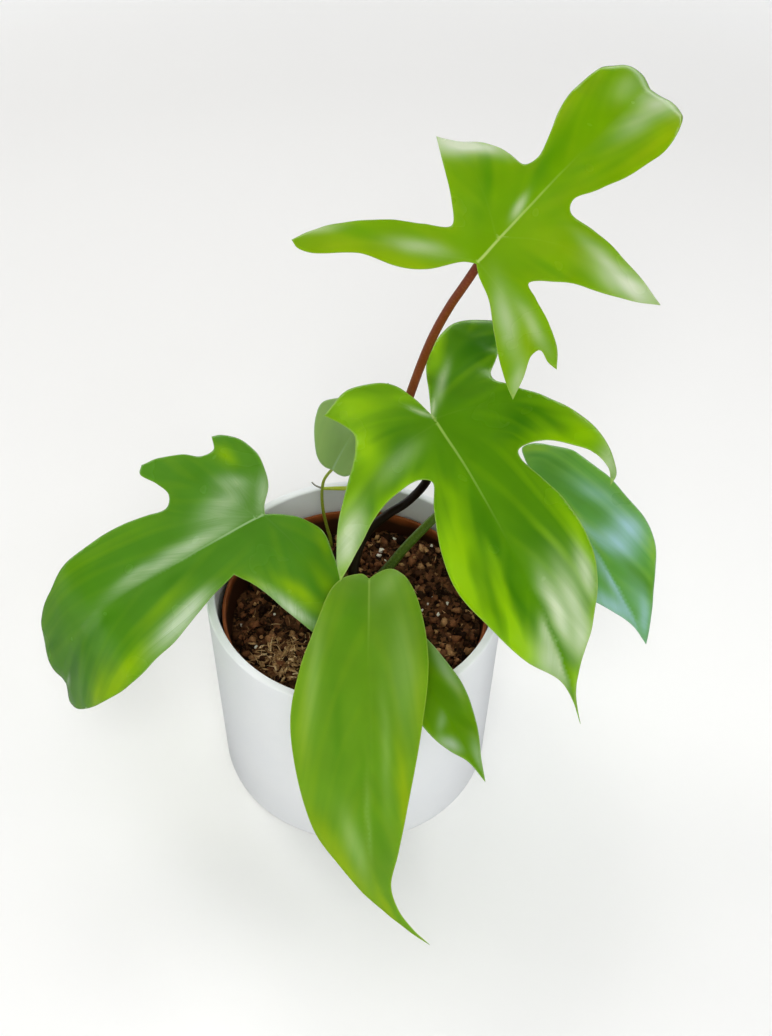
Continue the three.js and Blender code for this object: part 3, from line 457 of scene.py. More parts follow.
def smooth_curve(points, step):
    """Points about `step` apart on a smooth curve through the given points, both ends included."""
    knots = np.array(points, float)
    knots = np.vstack([2 * knots[0] - knots[1], knots, 2 * knots[-1] - knots[-2]])
    t = np.linspace(0, 1, CURVE_STEPS, endpoint=False)[:, None]
    dense = []
    for a, b, c, d in zip(knots, knots[1:], knots[2:], knots[3:]):
        before, along, after = (math.sqrt(np.linalg.norm(q - p)) for p, q in ((a, b), (b, c), (c, d)))
        start = ((b - a) / before - (c - a) / (before + along) + (c - b) / along) * along
        end = ((c - b) / along - (d - b) / (along + after) + (d - c) / after) * along
        dense.append((2 * t**3 - 3 * t**2 + 1) * b + (t**3 - 2 * t**2 + t) * start
                     + (3 * t**2 - 2 * t**3) * c + (t**3 - t**2) * end)
    dense = np.vstack([*dense, knots[-2]])
    run = np.concatenate([[0], np.cumsum(np.linalg.norm(np.diff(dense, axis=0), axis=1))])
    wanted = np.linspace(0, run[-1], max(2, round(run[-1] / step)) + 1)
    return np.column_stack([np.interp(wanted, run, dense[:, k]) for k in range(knots.shape[1])])


def smoothstep(x, low, high):
    t = np.clip((x - low) / (high - low), 0, 1)
    return t * t * (3 - 2 * t)


def leaf_surface(leaf, x, y):
    """The leaf's middle surface, in its own axes, at points of the flat leaf."""
    side = np.abs(x)
    crest = smooth_curve(leaf["crest"], step=0.5)
    start = leaf["bend_from"] + np.interp(x, crest[:, 0], crest[:, 1])

    def turn(s):
        rear = np.radians(leaf["back"]) * s / leaf["length"]
        front = np.radians(leaf["arch"]) * s / leaf["length"]
        front = front + np.radians(leaf["bend"]) * smoothstep(s, start, start + leaf["bend_over"])
        return np.where(s < 0, rear, front)

    along = np.zeros_like(x)
    up = np.zeros_like(x)
    for i in range(BEND_STEPS):
        angle = turn(y * (i + 0.5) / BEND_STEPS)
        along += np.cos(angle) * y / BEND_STEPS
        up -= np.sin(angle) * y / BEND_STEPS
    fold = math.radians(leaf["fold"]) * np.exp(np.minimum(y, 0) / FOLD_FADE)
    curl = np.radians(np.where(x >= 0, *leaf["curl"])) / CURL_SPAN
    across = np.sign(x) * (np.sin(fold) - np.sin(fold - curl * side)) / curl
    sway = side**2 / (side**2 + RIPPLE_START**2)
    wave = np.sin(2 * np.pi * y / RIPPLE_LENGTH + np.where(x < 0, RIPPLE_SHIFT, 0))
    height = (np.cos(fold - curl * side) - np.cos(fold)) / curl + leaf["ripple"] * sway * wave
    tilt = turn(y)
    return np.column_stack([across, along + height * np.sin(tilt), up + height * np.cos(tilt)])


def leaf_frame(leaf, x, y):
    """The middle surface's points and normals in the room."""
    right = leaf_surface(leaf, x + PROBE, y) - leaf_surface(leaf, x - PROBE, y)
    forward = leaf_surface(leaf, x, y + PROBE) - leaf_surface(leaf, x, y - PROBE)
    normal = np.cross(right, forward)
    normal /= np.linalg.norm(normal, axis=1)[:, None]
    pose = Matrix.Identity(3)
    for angle, axis in ((leaf["heading"] - 90, "Z"), (leaf["rise"], "X"), (leaf["roll"], "Y")):
        pose = pose @ Matrix.Rotation(math.radians(angle), 3, axis)
    pose = np.array(pose)
    return leaf_surface(leaf, x, y) @ pose.T + np.array(leaf["at"]), normal @ pose.T


def nearest(points, line):
    """How far points are from a line of points, and how far along it the nearest place is."""
    best = np.full(len(points), 1e9)
    place = np.zeros(len(points))
    run = 0.0
    for a, b in zip(line, line[1:]):
        reach = b - a
        length = np.linalg.norm(reach)
        t = np.clip((points - a) @ reach / length**2, 0, 1)
        away = np.linalg.norm(points - a - t[:, None] * reach, axis=1)
        closer = away < best
        best = np.where(closer, away, best)
        place = np.where(closer, run + t * length, place)
        run += length
    return best, place, run


def patches(x, y, size, seed):
    """Smooth random values, mostly from -0.5 to 0.5, whose patches measure about `size`."""
    return np.array([noise.noise(Vector((a / size, b / size, seed))) for a, b in zip(x, y)])


# Pieces

def deselect():
    bpy.ops.object.select_all(action="DESELECT")


def mesh_object(name, vertices, faces):
    """A new piece from vertices in millimetres."""
    mesh = bpy.data.meshes.new(name)
    mesh.from_pydata((np.asarray(vertices) * MM).tolist(), [], [list(f) for f in faces])
    mesh.shade_smooth()
    piece = bpy.data.objects.new(name, mesh)
    bpy.context.scene.collection.objects.link(piece)
    return piece


def store(piece, name, values):
    layer = piece.data.attributes.new(name, "FLOAT", "POINT")
    layer.data.foreach_set("value", np.asarray(values, np.float32))


def finish_piece(piece, material, nodes=()):
    piece.data.materials.clear()
    piece.data.materials.append(material)
    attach(piece, BODY)
    if nodes:
        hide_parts(*nodes)


def turned(name, profile, sides):
    """A turned piece: a disc at the foot is drawn out and resized from one ring of the profile to the
    next, and ends as the disc that closes it."""
    deselect()
    radius, height = profile[0]
    bpy.ops.mesh.primitive_circle_add(vertices=sides, radius=radius * MM, fill_type="NGON",
                                      location=(0, 0, height * MM))
    piece = bpy.context.object
    piece.name = name
    bpy.ops.object.transform_apply(location=True, rotation=False, scale=False)
    bpy.ops.object.mode_set(mode="EDIT")
    bpy.ops.mesh.select_all(action="SELECT")
    for (r0, z0), (r1, z1) in zip(profile, profile[1:]):
        bpy.ops.mesh.extrude_region_move(TRANSFORM_OT_translate={"value": (0, 0, (z1 - z0) * MM)})
        bpy.ops.transform.resize(value=(r1 / r0, r1 / r0, 1), center_override=(0, 0, z1 * MM))
    bpy.ops.mesh.select_all(action="SELECT")
    bpy.ops.mesh.normals_make_consistent(inside=False)
    bpy.ops.object.mode_set(mode="OBJECT")
    bpy.ops.object.shade_smooth_by_angle(angle=math.radians(SHARP_ANGLE))
    return piece


def arc(x, y, radius, start, end, steps):
    """Points of a rounded corner, from one angle to another in degrees."""
    angles = [math.radians(start + (end - start) * i / steps) for i in range(steps + 1)]
    return [(x + radius * math.cos(a), y + radius * math.sin(a)) for a in angles]


def rod(name, points, radii, sides, step):
    """A round piece along a smooth curve. Its `along` runs from 0 at the foot to 1 at the top."""
    path = smooth_curve(points, step)
    ends = np.linspace(0, 1, len(radii))
    at = np.linspace(0, 1, len(path))
    widths = smooth_curve(list(zip(ends, radii)), step=0.01)
    widths = np.interp(at, widths[:, 0], widths[:, 1])
    curve = bpy.data.curves.new(name, "CURVE")
    curve.dimensions = "3D"
    curve.bevel_depth = MM
    curve.bevel_resolution = sides // 2 - 2        # which gives a section of that many sides
    curve.use_fill_caps = True
    spline = curve.splines.new("POLY")
    spline.points.add(len(path) - 1)
    for point, place, width in zip(spline.points, path, widths):
        point.co = (*(place * MM), 1)
        point.radius = width
    piece = bpy.data.objects.new(name, curve)
    bpy.context.scene.collection.objects.link(piece)
    deselect()
    piece.select_set(True)
    bpy.context.view_layer.objects.active = piece
    bpy.ops.object.convert(target="MESH")
    piece = bpy.context.object
    piece.data.shade_smooth()
    tree = KDTree(len(path))
    for i, place in enumerate(path):
        tree.insert(place * MM, i)
    tree.balance()
    store(piece, "along", [tree.find(v.co)[1] / (len(path) - 1) for v in piece.data.vertices])
    return piece


# Leaves

def inside(rim, points):
    """Which points lie inside a closed outline."""
    result = np.zeros(len(points), bool)
    for a, b in zip(rim, np.roll(rim, -1, axis=0)):
        if a[1] == b[1]:
            continue
        crosses = (a[1] > points[:, 1]) != (b[1] > points[:, 1])
        result ^= crosses & (points[:, 0] < a[0] + (b[0] - a[0]) * (points[:, 1] - a[1]) / (b[1] - a[1]))
    return result


def leaf_outline(leaf):
    """The flat leaf's edge, evenly spaced along each stroke."""
    rim = []
    last = None
    for stroke in leaf["outline"]:
        points = smooth_curve(([last] if last else []) + stroke, RIM_STEP)
        rim.extend(points[:-1])
        last = stroke[-1]
    return np.array(rim)


def leaf_grid(rim, lines):
    """Points and triangles that fill the flat leaf, with edges along its edge and its main veins."""
    fixed = np.vstack([rim, *lines])
    tree = KDTree(len(fixed))
    for i, (x, y) in enumerate(fixed):
        tree.insert((x, y, 0), i)
    tree.balance()
    low, high = rim.min(axis=0), rim.max(axis=0)
    rows = np.arange(low[1], high[1], FACE_STEP * math.sqrt(3) / 2)
    lattice = [(x + FACE_STEP / 2 * (i % 2), y) for i, y in enumerate(rows)
               for x in np.arange(low[0], high[0], FACE_STEP)]
    lattice = np.array(lattice)
    lattice = lattice[inside(rim, lattice)]
    lattice = [p for p in lattice if tree.find((p[0], p[1], 0))[2] > FACE_STEP * FACE_CLEAR]
    points = [Vector(p) for p in fixed] + [Vector(p) for p in lattice]
    edges = []
    first = len(rim)
    for line in lines:
        edges.extend((first + i, first + i + 1) for i in range(len(line) - 1))
        first += len(line)
    # The 1 keeps the triangles inside the edge
    found = delaunay_2d_cdt(points, edges, [list(range(len(rim)))], 1, 1e-4)
    return np.array([tuple(p) for p in found[0]]), np.array(found[2])


def beside(midrib, x, y):
    """How far right of the midrib a place is."""
    return x - np.interp(y, midrib[:, 1], midrib[:, 0])


def patch_sum(flat, midrib, ovals):
    """The joint strength of soft oval patches at points of the flat leaf. None crosses the midrib."""
    total = np.zeros(len(flat))
    right = beside(midrib, *flat.T)
    for x, y, length, width, direction, strength in ovals:
        angle = math.radians(direction)
        along = (flat[:, 0] - x) * math.cos(angle) + (flat[:, 1] - y) * math.sin(angle)
        across = (flat[:, 1] - y) * math.cos(angle) - (flat[:, 0] - x) * math.sin(angle)
        side = smoothstep(right * np.sign(beside(midrib, x, y)), -PATCH_STOP, PATCH_STOP)
        total += strength * side * np.exp(-(along / length)**2 - (across / width)**2)
    return total


def leaf_marks(leaf, flat, rim, lines, seed):
    """What a leaf's finish and relief follow, at each point of the flat leaf."""
    away, place, length = zip(*(nearest(flat, line) for line in lines))
    away, place = np.array(away), np.array(place)
    order = np.argsort(away, axis=0)
    own = order[0]
    pick = np.arange(len(flat))
    distance, run = away[own, pick], place[own, pick]
    full = np.array(length)[own]
    gap = (away[order[1], pick] - distance) if len(lines) > 1 else np.full(len(flat), SEAM)
    left = np.clip(1 - run / full, 0, 1)
    midrib = own == 0
    width = VEIN_TIP + np.where(midrib, MIDRIB_GAIN, SIDE_GAIN) * left
    edge = nearest(flat, np.vstack([rim, rim[:1]]))[0]
    waver = [patches(*flat.T, PATCH_WAVE, seed + k) for k in (20, 21)]
    wavered = flat + PATCH_WAVER * np.column_stack(waver)
    return {
        "vein": distance / width,
        "vein_fade": np.where(midrib, smoothstep(left, 1 - leaf["midrib"], 1), SIDE_PALENESS * left**2),
        "phase": run - LATERAL_SLANT * distance - LATERAL_CURVE * distance**2 + LATERAL_SHIFT * own,
        "off": distance,
        "edge": edge,
        "reach": edge / (edge + distance + 1e-6),
        "lateral": (smoothstep(gap, 0, SEAM) * smoothstep(distance, 0, LATERAL_FADE)
                    * smoothstep(edge, 0, LATERAL_FADE)),
        "light": patch_sum(wavered, lines[0], leaf["light"]),
        "deep": patch_sum(wavered, lines[0], leaf["deep"]),
        # Patches of pale painted sheen: the wax's reflection painted into the colour
        "painted_sheen": patch_sum(0.5 * (flat + wavered), lines[0], leaf["painted_sheen"]),
    }


def leaf_blade(name, leaf, seed):
    """A leaf: its flat shape is filled with fine triangles and bent, and has veins sunk in its face
    and raised under it, soft bulges between the side veins and an edge that wavers a little."""
    rim = leaf_outline(leaf)
    lines = [smooth_curve(points, VEIN_STEP) for points in leaf["veins"]]
    flat, triangles = leaf_grid(rim, lines)
    marks = leaf_marks(leaf, flat, rim, lines, seed)
    x, y = flat[:, 0], flat[:, 1]
    middle, normal = leaf_frame(leaf, x, y)
    size = min(1, leaf["length"] / SMALL_LEAF)
    swell = (BROAD_SWELL["share"] * patches(x, y, BROAD_SWELL["size"], seed)
             + SMALL_SWELL["share"] * patches(x, y, SMALL_SWELL["size"], seed + 9))
    waver = WAVER["height"] * patches(x, y, WAVER["size"], seed + 5)
    waver = waver * np.exp(-marks["edge"] / WAVER["reach"])
    quilt = leaf["quilt"] * np.abs(np.sin(np.pi * marks["phase"] / LATERAL_SPACING)) * marks["lateral"]
    groove = np.exp(-marks["vein"]**2 / GROOVE_SPREAD) * (GROOVE_TIP + GROOVE * marks["vein_fade"])
    lift = size * (swell * SWELL + waver + quilt) - groove
    half = 0.5 * (BLADE_EDGE + (BLADE - BLADE_EDGE) * smoothstep(marks["edge"], 0, BLADE_TAPER))
    rib = RIB * np.exp(-(marks["vein"] / RIB_SPREAD)**2) * size
    rib = rib * (RIB_TIP + (1 - RIB_TIP) * marks["vein_fade"])
    top = middle + normal * (lift + half)[:, None]
    bottom = middle + normal * (lift - half - rib)[:, None]
    count = len(flat)
    a, b, c = triangles.T
    signed = (x[b] - x[a]) * (y[c] - y[a]) - (x[c] - x[a]) * (y[b] - y[a])
    triangles = np.where((signed > 0)[:, None], triangles, triangles[:, ::-1])
    directed = {(int(p), int(q)) for t in triangles for p, q in zip(t, np.roll(t, -1))}
    faces = triangles.tolist() + (triangles[:, ::-1] + count).tolist()
    faces += [(q, p, p + count, q + count) for p, q in sorted(directed) if (q, p) not in directed]
    piece = mesh_object(name, np.vstack([top, bottom]), faces)
    for key, values in marks.items():
        store(piece, key, np.concatenate([values, values]))
    store(piece, "under", np.repeat([0, 1], count))
    layer = piece.data.uv_layers.new(name="flat_leaf")
    corners = np.zeros(len(piece.data.loops), np.int32)
    piece.data.loops.foreach_get("vertex_index", corners)
    layer.data.foreach_set("uv", (np.vstack([flat, flat])[corners] * MM).ravel())
    return piece


BROAD_LANES = 0.06                     # how many lanes of two greens start on a millimetre of a vein
FINE_LANES = 0.55                      # and how many fine streaks
LANE_STRETCH = 0.3                     # less than 1 draws them out along the side veins
LANE_SHARE = 0.3                       # how far the lanes go from the leaf's green to the next one
UNDER_ROUGH = 0.22                     # how much rougher the underside is


def leaf_finish(name, shades, rough=0.25, streaks=1.0, brushed=0.0):
    """A waxy leaf, whose thin skin of wax gives wide soft sheens. `shades` are its deep patches, its
    body, its light patches, the line of its veins, its margin, its underside and its painted sheen. Deep
    and light also lie in soft lanes that run forward from the veins, and a pale painted sheen, the wax's
    reflection painted into the colour, lies over it in patches, which are brushed along the side veins
    on some leaves."""
    deep, body, light, vein, margin, under, painted_sheen = shades
    material = new_material(name)
    read = {key: add_node(material, "Attribute", output="Fac", attribute_name=key)
            for key in ("vein", "vein_fade", "phase", "off", "edge", "reach", "lateral", "light", "deep",
                        "painted_sheen", "under")}
    flat = add_node(material, "UVMap", uv_map="flat_leaf")
    slow_off = add_node(material, "Math", {0: read["off"], 1: LANE_STRETCH}, operation="MULTIPLY")
    lane = add_node(material, "CombineXYZ", {"X": read["phase"], "Y": slow_off})
    broad = add_node(material, "TexNoise",
                     {"Vector": lane, "Scale": BROAD_LANES, "Detail": 1, "Roughness": 0.4})
    fine = add_node(material, "TexNoise",
                    {"Vector": lane, "Scale": FINE_LANES, "Detail": 1.5, "Roughness": 0.5})
    cloud = add_node(material, "TexNoise", {"Vector": flat, "Scale": per_metre(22.2), "Detail": 2})
    speck = add_node(material, "TexNoise", {"Vector": flat, "Scale": per_metre(1.11), "Detail": 2})

    # Lanes along the side veins, which die out at the main veins and at the edge
    swing = add_node(material, "MapRange",
                     {"Value": broad, "From Min": 0.3, "From Max": 0.7,
                      "To Min": -LANE_SHARE * streaks, "To Max": LANE_SHARE * streaks})
    lanes = add_node(material, "Math", {0: swing, 1: read["lateral"]}, operation="MULTIPLY")
    outward = add_node(material, "MapRange",
                       {"Value": read["reach"], "From Min": 0.45, "From Max": 0.0,
                        "To Max": LANE_SHARE * streaks}, interpolation_type="SMOOTHSTEP")
    lighter = add_node(material, "Math", {0: read["light"], 1: outward}, operation="ADD")
    yellowing = add_node(material, "Math", {0: lighter, 1: lanes}, operation="ADD", use_clamp=True)
    deepening = add_node(material, "Math", {0: read["deep"], 1: lanes}, operation="SUBTRACT",
                         use_clamp=True)
    base = add_node(material, "Mix", {0: deepening, MIX_A: body, MIX_B: deep}, **COLOURS)
    tinted = add_node(material, "Mix", {0: yellowing, MIX_A: base, MIX_B: light}, **COLOURS)
    mottle = add_node(material, "MapRange",
                      {"Value": cloud, "From Min": 0.3, "From Max": 0.7, "To Min": 0.94, "To Max": 1.06})
    grained = add_node(material, "VectorMath", {0: tinted, "Scale": mottle}, operation="SCALE")

    # The main veins as pale lines that fade towards their tips, and a thin light margin
    line = add_node(material, "MapRange",
                    {"Value": read["vein"], "From Min": 0.5, "From Max": 1.6, "To Min": 1, "To Max": 0},
                    interpolation_type="SMOOTHSTEP")
    pale = add_node(material, "Math", {0: line, 1: read["vein_fade"]}, operation="MULTIPLY")
    veined = add_node(material, "Mix", {0: pale, MIX_A: grained, MIX_B: vein}, **COLOURS)
    rim = add_node(material, "MapRange",
                   {"Value": read["edge"], "From Min": 0.1, "From Max": 0.6, "To Min": 0.5, "To Max": 0},
                   interpolation_type="SMOOTHSTEP")
    edged = add_node(material, "Mix", {0: rim, MIX_A: veined, MIX_B: margin}, **COLOURS)

    # A pale painted sheen (a painted reflection) in its patches, a little uneven, and the plain
    # underside
    bands = add_node(material, "Math", {0: fine, 1: brushed, 2: broad}, operation="MULTIPLY_ADD")
    centre, spread = 0.5 + 0.5 * brushed, 0.15 + 0.15 * brushed
    smear = add_node(material, "MapRange",
                     {"Value": bands, "From Min": centre - spread, "From Max": centre + spread,
                      "To Min": 0.85 - 0.3 * brushed, "To Max": 1.1 + 0.2 * brushed})
    painted_sheen_share = add_node(material, "Math", {0: read["painted_sheen"], 1: smear}, operation="MULTIPLY", use_clamp=True)
    with_painted_sheen = add_node(material, "Mix", {0: painted_sheen_share, MIX_A: edged, MIX_B: painted_sheen}, **COLOURS)
    backed = add_node(material, "Mix", {0: read["under"], MIX_A: with_painted_sheen, MIX_B: under}, **COLOURS)

    # An uneven gloss, and furrows along the side veins with a fine grain
    gloss = add_node(material, "MapRange",
                     {"Value": cloud, "From Min": 0.25, "From Max": 0.75,
                      "To Min": rough - 0.02, "To Max": rough + 0.04})
    dull = add_node(material, "Math", {0: read["under"], 1: UNDER_ROUGH, 2: gloss},
                    operation="MULTIPLY_ADD")
    furrow = add_node(material, "Math", {0: fine, 1: read["lateral"]}, operation="MULTIPLY")
    relief = add_node(material, "Math", {0: speck, 1: 0.15, 2: furrow}, operation="MULTIPLY_ADD")
    bump = add_node(material, "Bump", {"Height": relief, "Strength": 0.08, "Distance": 0.3 * MM})
    feed(material, shader(material), {
        "Base Color": backed, "Roughness": dull, "Normal": bump, "IOR": 1.4, "Subsurface Weight": 0.1,
        "Subsurface Radius": (0.5, 1.0, 0.2), "Subsurface Scale": 1.5 * MM})
    return material


# Other finishes

def glaze_finish():
    """White glazed earthenware: a smooth, faintly uneven glaze on a white body, with soft highlights."""
    material = new_material("white glazed earthenware")
    place = add_node(material, "TexCoord", output="Object")
    wave = add_node(material, "TexNoise", {"Vector": place, "Scale": per_metre(22.2), "Detail": 2})
    tint = add_node(material, "Mix", {0: wave, MIX_A: "#ECEEF0", MIX_B: "#F2F3F3"}, **COLOURS)
    bump = add_node(material, "Bump", {"Height": wave, "Strength": 0.12, "Distance": 2 * MM})
    feed(material, shader(material), {
        "Base Color": tint, "Roughness": 0.28, "IOR": 1.5, "Normal": bump, "Coat Weight": 0.3,
        "Coat Roughness": 0.15})
    return material


def plastic_finish():
    """Moulded polypropylene in a terracotta colour: satin, a little dusty, and darkened below its rim
    partly by a film of soil and partly by painted shade."""
    material = new_material("terracotta polypropylene")
    place = add_node(material, "TexCoord", output="Object")
    dust = add_node(material, "TexNoise", {"Vector": place, "Scale": per_metre(7.7), "Detail": 5})
    tint = add_node(material, "Mix", {0: dust, MIX_A: "#8A4A26", MIX_B: "#B0683A"}, **COLOURS)
    height = add_node(material, "SeparateXYZ", {0: place}, output="Z")
    uneven = add_node(material, "Math", {0: dust, 1: 3 * MM, 2: height}, operation="MULTIPLY_ADD")
    # Darker below the rim: partly a film of soil, partly painted shade
    soil_film_and_painted_shade = add_node(material, "MapRange",
                    {"Value": uneven, "From Min": (NURSERY_RIM_Z - 3) * MM,
                     "From Max": (NURSERY_RIM_Z + 0.5) * MM, "To Min": 0.9, "To Max": 0})
    soiled_and_shaded = add_node(material, "Mix", {0: soil_film_and_painted_shade, MIX_A: tint, MIX_B: "#2E1C12"}, **COLOURS)
    feed(material, shader(material), {"Base Color": soiled_and_shaded, "Roughness": 0.5, "IOR": 1.49})
    return material


def crumbly(material, shades, lower, upper, shade, grain, strength, depth, rough):
    """A matte crumbly stuff: dark to mid by `lower` and on to pale by `upper`, lightened and darkened
    by `shade`, with bumps of `grain` that are `depth` millimetres high."""
    dark, mid, pale = shades
    first = add_node(material, "Mix", {0: lower, MIX_A: dark, MIX_B: mid}, **COLOURS)
    second = add_node(material, "Mix", {0: upper, MIX_A: first, MIX_B: pale}, **COLOURS)
    shaded = add_node(material, "VectorMath", {0: second, "Scale": shade}, operation="SCALE")
    bump = add_node(material, "Bump", {"Height": grain, "Strength": strength, "Distance": depth * MM})
    feed(material, shader(material), {
        "Base Color": shaded, "Roughness": rough, "IOR": 1.4, "Normal": bump})
    return material


def soil_finish(shades):
    """Moist peat: dark crumbs with browner and paler bits, fully matte."""
    material = new_material("moist peat")
    place = add_node(material, "TexCoord", output="Object")
    cells = add_node(material, "TexVoronoi", {"Vector": place, "Scale": per_metre(2.38)}, output="Color")
    bits = add_node(material, "TexNoise",
                    {"Vector": place, "Scale": per_metre(1.11), "Detail": 4, "Roughness": 0.7})
    drift = add_node(material, "TexNoise", {"Vector": place, "Scale": per_metre(9.1), "Detail": 3})
    kind = add_node(material, "SeparateColor", {"Color": cells})
    lower = add_node(material, "MapRange", {"Value": kind, "From Min": 0.25, "From Max": 1.0})
    upper = add_node(material, "MapRange",
                     {"Value": bits, "From Min": 0.56, "From Max": 0.8, "To Max": 0.8})
    shade = add_node(material, "MapRange",
                     {"Value": drift, "From Min": 0.3, "From Max": 0.7, "To Min": 0.7, "To Max": 1.25})
    return crumbly(material, shades, lower, upper, shade, bits, strength=0.6, depth=0.6, rough=0.92)


def crumb_finish(name, shades):
    """Loose matte bits: each has a shade of its own between those given, and a fine grain."""
    material = new_material(name)
    place = add_node(material, "TexCoord", output="Object")
    tone = add_node(material, "Attribute", output="Fac", attribute_name="tone")
    grain = add_node(material, "TexNoise",
                     {"Vector": place, "Scale": per_metre(0.77), "Detail": 3, "Roughness": 0.6})
    lower = add_node(material, "MapRange", {"Value": tone, "From Min": 0.1, "From Max": 0.8})
    upper = add_node(material, "MapRange", {"Value": tone, "From Min": 0.75, "From Max": 1.0})
    shade = add_node(material, "MapRange",
                     {"Value": grain, "From Min": 0.3, "From Max": 0.7, "To Min": 0.7, "To Max": 1.3})
    return crumbly(material, shades, lower, upper, shade, grain, strength=0.5, depth=0.4, rough=0.85)


def plain_grain_finish(name, first, second, size, rough):
    """A matte natural stuff in two mixed shades, whose grain measures `size` millimetres."""
    material = new_material(name)
    place = add_node(material, "TexCoord", output="Object")
    grain = add_node(material, "TexNoise",
                     {"Vector": place, "Scale": per_metre(size), "Detail": 4, "Roughness": 0.6})
    tint = add_node(material, "Mix", {0: grain, MIX_A: first, MIX_B: second}, **COLOURS)
    bump = add_node(material, "Bump", {"Height": grain, "Strength": 0.4, "Distance": 0.4 * MM})
    feed(material, shader(material), {
        "Base Color": tint, "Roughness": rough, "IOR": 1.45, "Normal": bump})
    return material


def stalk_finish(name, foot, middle, top, fleck):
    """A satin leaf stalk: its colour runs from foot to top, with fine flecks."""
    material = new_material(name)
    place = add_node(material, "TexCoord", output="Object")
    along = add_node(material, "Attribute", output="Fac", attribute_name="along")
    rise = add_node(material, "MapRange", {"Value": along, "From Min": 0.0, "From Max": 0.35})
    end = add_node(material, "MapRange", {"Value": along, "From Min": 0.5, "From Max": 0.98})
    lower = add_node(material, "Mix", {0: rise, MIX_A: foot, MIX_B: middle}, **COLOURS)
    upper = add_node(material, "Mix", {0: end, MIX_A: lower, MIX_B: top}, **COLOURS)
    flecks = add_node(material, "TexNoise",
                      {"Vector": place, "Scale": per_metre(0.91), "Detail": 3, "Roughness": 0.6})
    much = add_node(material, "MapRange",
                    {"Value": flecks, "From Min": 0.5, "From Max": 0.75, "To Max": 0.55})
    tint = add_node(material, "Mix", {0: much, MIX_A: upper, MIX_B: fleck}, **COLOURS)
    bump = add_node(material, "Bump", {"Height": flecks, "Strength": 0.35, "Distance": 0.4 * MM})
    feed(material, shader(material), {
        "Base Color": tint, "Roughness": 0.42, "IOR": 1.45, "Normal": bump, "Subsurface Weight": 0.05,
        "Subsurface Scale": 1 * MM})
    return material


# The pots

def cover_pot():
    """A plain pot that widens a little towards its rim."""
    slope = (COVER_RIM_RADIUS - COVER_FOOT_RADIUS) / COVER_HEIGHT
    inner = COVER_FOOT_RADIUS - COVER_WALL + slope * COVER_FLOOR
    profile = [
        *arc(COVER_FOOT_RADIUS - COVER_EDGE, COVER_EDGE, COVER_EDGE, -90, 0, 6),
        *((COVER_FOOT_RADIUS + slope * z, z) for z in COVER_RINGS),
        *arc(COVER_RIM_RADIUS - COVER_LIP, COVER_HEIGHT - COVER_LIP, COVER_LIP, 0, 90, 6),
        *arc(COVER_RIM_RADIUS - COVER_WALL + COVER_LIP, COVER_HEIGHT - COVER_LIP, COVER_LIP, 90, 180, 6),
        (inner + slope * COVER_INNER_RING, COVER_INNER_RING),
        *arc(inner - COVER_CORNER, COVER_FLOOR + COVER_CORNER, COVER_CORNER, 0, -90, 6),
    ]
    piece = turned("glazed_pot", profile, POT_SIDES)
    finish_piece(piece, glaze_finish(), ["cover_pot"])


def nursery_pot():
    """A thin pot with a band below its rim and drain holes in its floor."""
    shoulder = NURSERY_RIM_Z - NURSERY_BAND
    profile = [
        (NURSERY_FOOT_RADIUS - NURSERY_CHAMFER, NURSERY_FLOOR),
        (NURSERY_FOOT_RADIUS, NURSERY_FLOOR + NURSERY_CHAMFER),
        (NURSERY_SHOULDER_RADIUS, shoulder),
        (NURSERY_RIM_RADIUS - NURSERY_STEP, shoulder + NURSERY_STEP),
        *arc(NURSERY_RIM_RADIUS - NURSERY_LIP, NURSERY_RIM_Z - NURSERY_LIP, NURSERY_LIP, 0, 180, 8),
        (NURSERY_SHOULDER_RADIUS - NURSERY_WALL, shoulder),
        (NURSERY_FOOT_RADIUS - NURSERY_WALL, NURSERY_FLOOR + NURSERY_WALL),
    ]
    piece = turned("grow_pot", profile, POT_SIDES)
    for i in range(DRAIN_HOLES):
        angle = math.tau * i / DRAIN_HOLES
        deselect()
        bpy.ops.mesh.primitive_cylinder_add(
            vertices=DRAIN_SIDES, radius=DRAIN_RADIUS * MM, depth=DRILL_LENGTH * MM,
            location=(DRAIN_CIRCLE * math.cos(angle) * MM, DRAIN_CIRCLE * math.sin(angle) * MM,
                      NURSERY_FLOOR * MM))
        drill = bpy.context.object
        bpy.context.view_layer.objects.active = piece
        hole = piece.modifiers.new("drain", "BOOLEAN")
        hole.object = drill
        hole.operation = "DIFFERENCE"
        bpy.ops.object.modifier_apply(modifier=hole.name)
        bpy.data.objects.remove(drill)
    finish_piece(piece, plastic_finish(), ["nursery_pot"])


# The soil

def nursery_radius(z):
    shoulder = NURSERY_RIM_Z - NURSERY_BAND
    t = (z - NURSERY_FLOOR) / (shoulder - NURSERY_FLOOR)
    return NURSERY_FOOT_RADIUS + (NURSERY_SHOULDER_RADIUS - NURSERY_FOOT_RADIUS) * t


def grid_noise(x, y):
    """Smooth random heights from 0 to 1, one drawn for each corner of a unit grid."""
    def draw(i, j):
        across, along, seed, spread = SCATTER
        s = np.sin(i * across + j * along + CRUMB_SEED * seed) * spread
        return s - np.floor(s)
    i, j = np.floor(x), np.floor(y)
    u, v = smoothstep(x - i, 0, 1), smoothstep(y - j, 0, 1)
    low = draw(i, j) * (1 - u) + draw(i + 1, j) * u
    high = draw(i, j + 1) * (1 - u) + draw(i + 1, j + 1) * u
    return low * (1 - v) + high * v


def soil_height(x, y):
    edge = np.hypot(x, y) / nursery_radius(SOIL_Z)
    heap = sum(h["height"] * np.exp(-np.hypot(x - h["x"], y - h["y"])**2 / 2 / h["spread"]**2)
               for h in (CLUMP, MOUND))
    coarse = grid_noise(x / COARSE_CRUMB, y / COARSE_CRUMB) - 0.5
    fine = grid_noise(x / FINE_CRUMB + FINE_CRUMB_SHIFT, y / FINE_CRUMB) - 0.5
    return (SOIL_Z + SOIL_SLOPE * x - SOIL_DISH * edge**4 + heap
            + CRUMB_HEIGHT * (coarse + FINE_CRUMB_SHARE * fine))


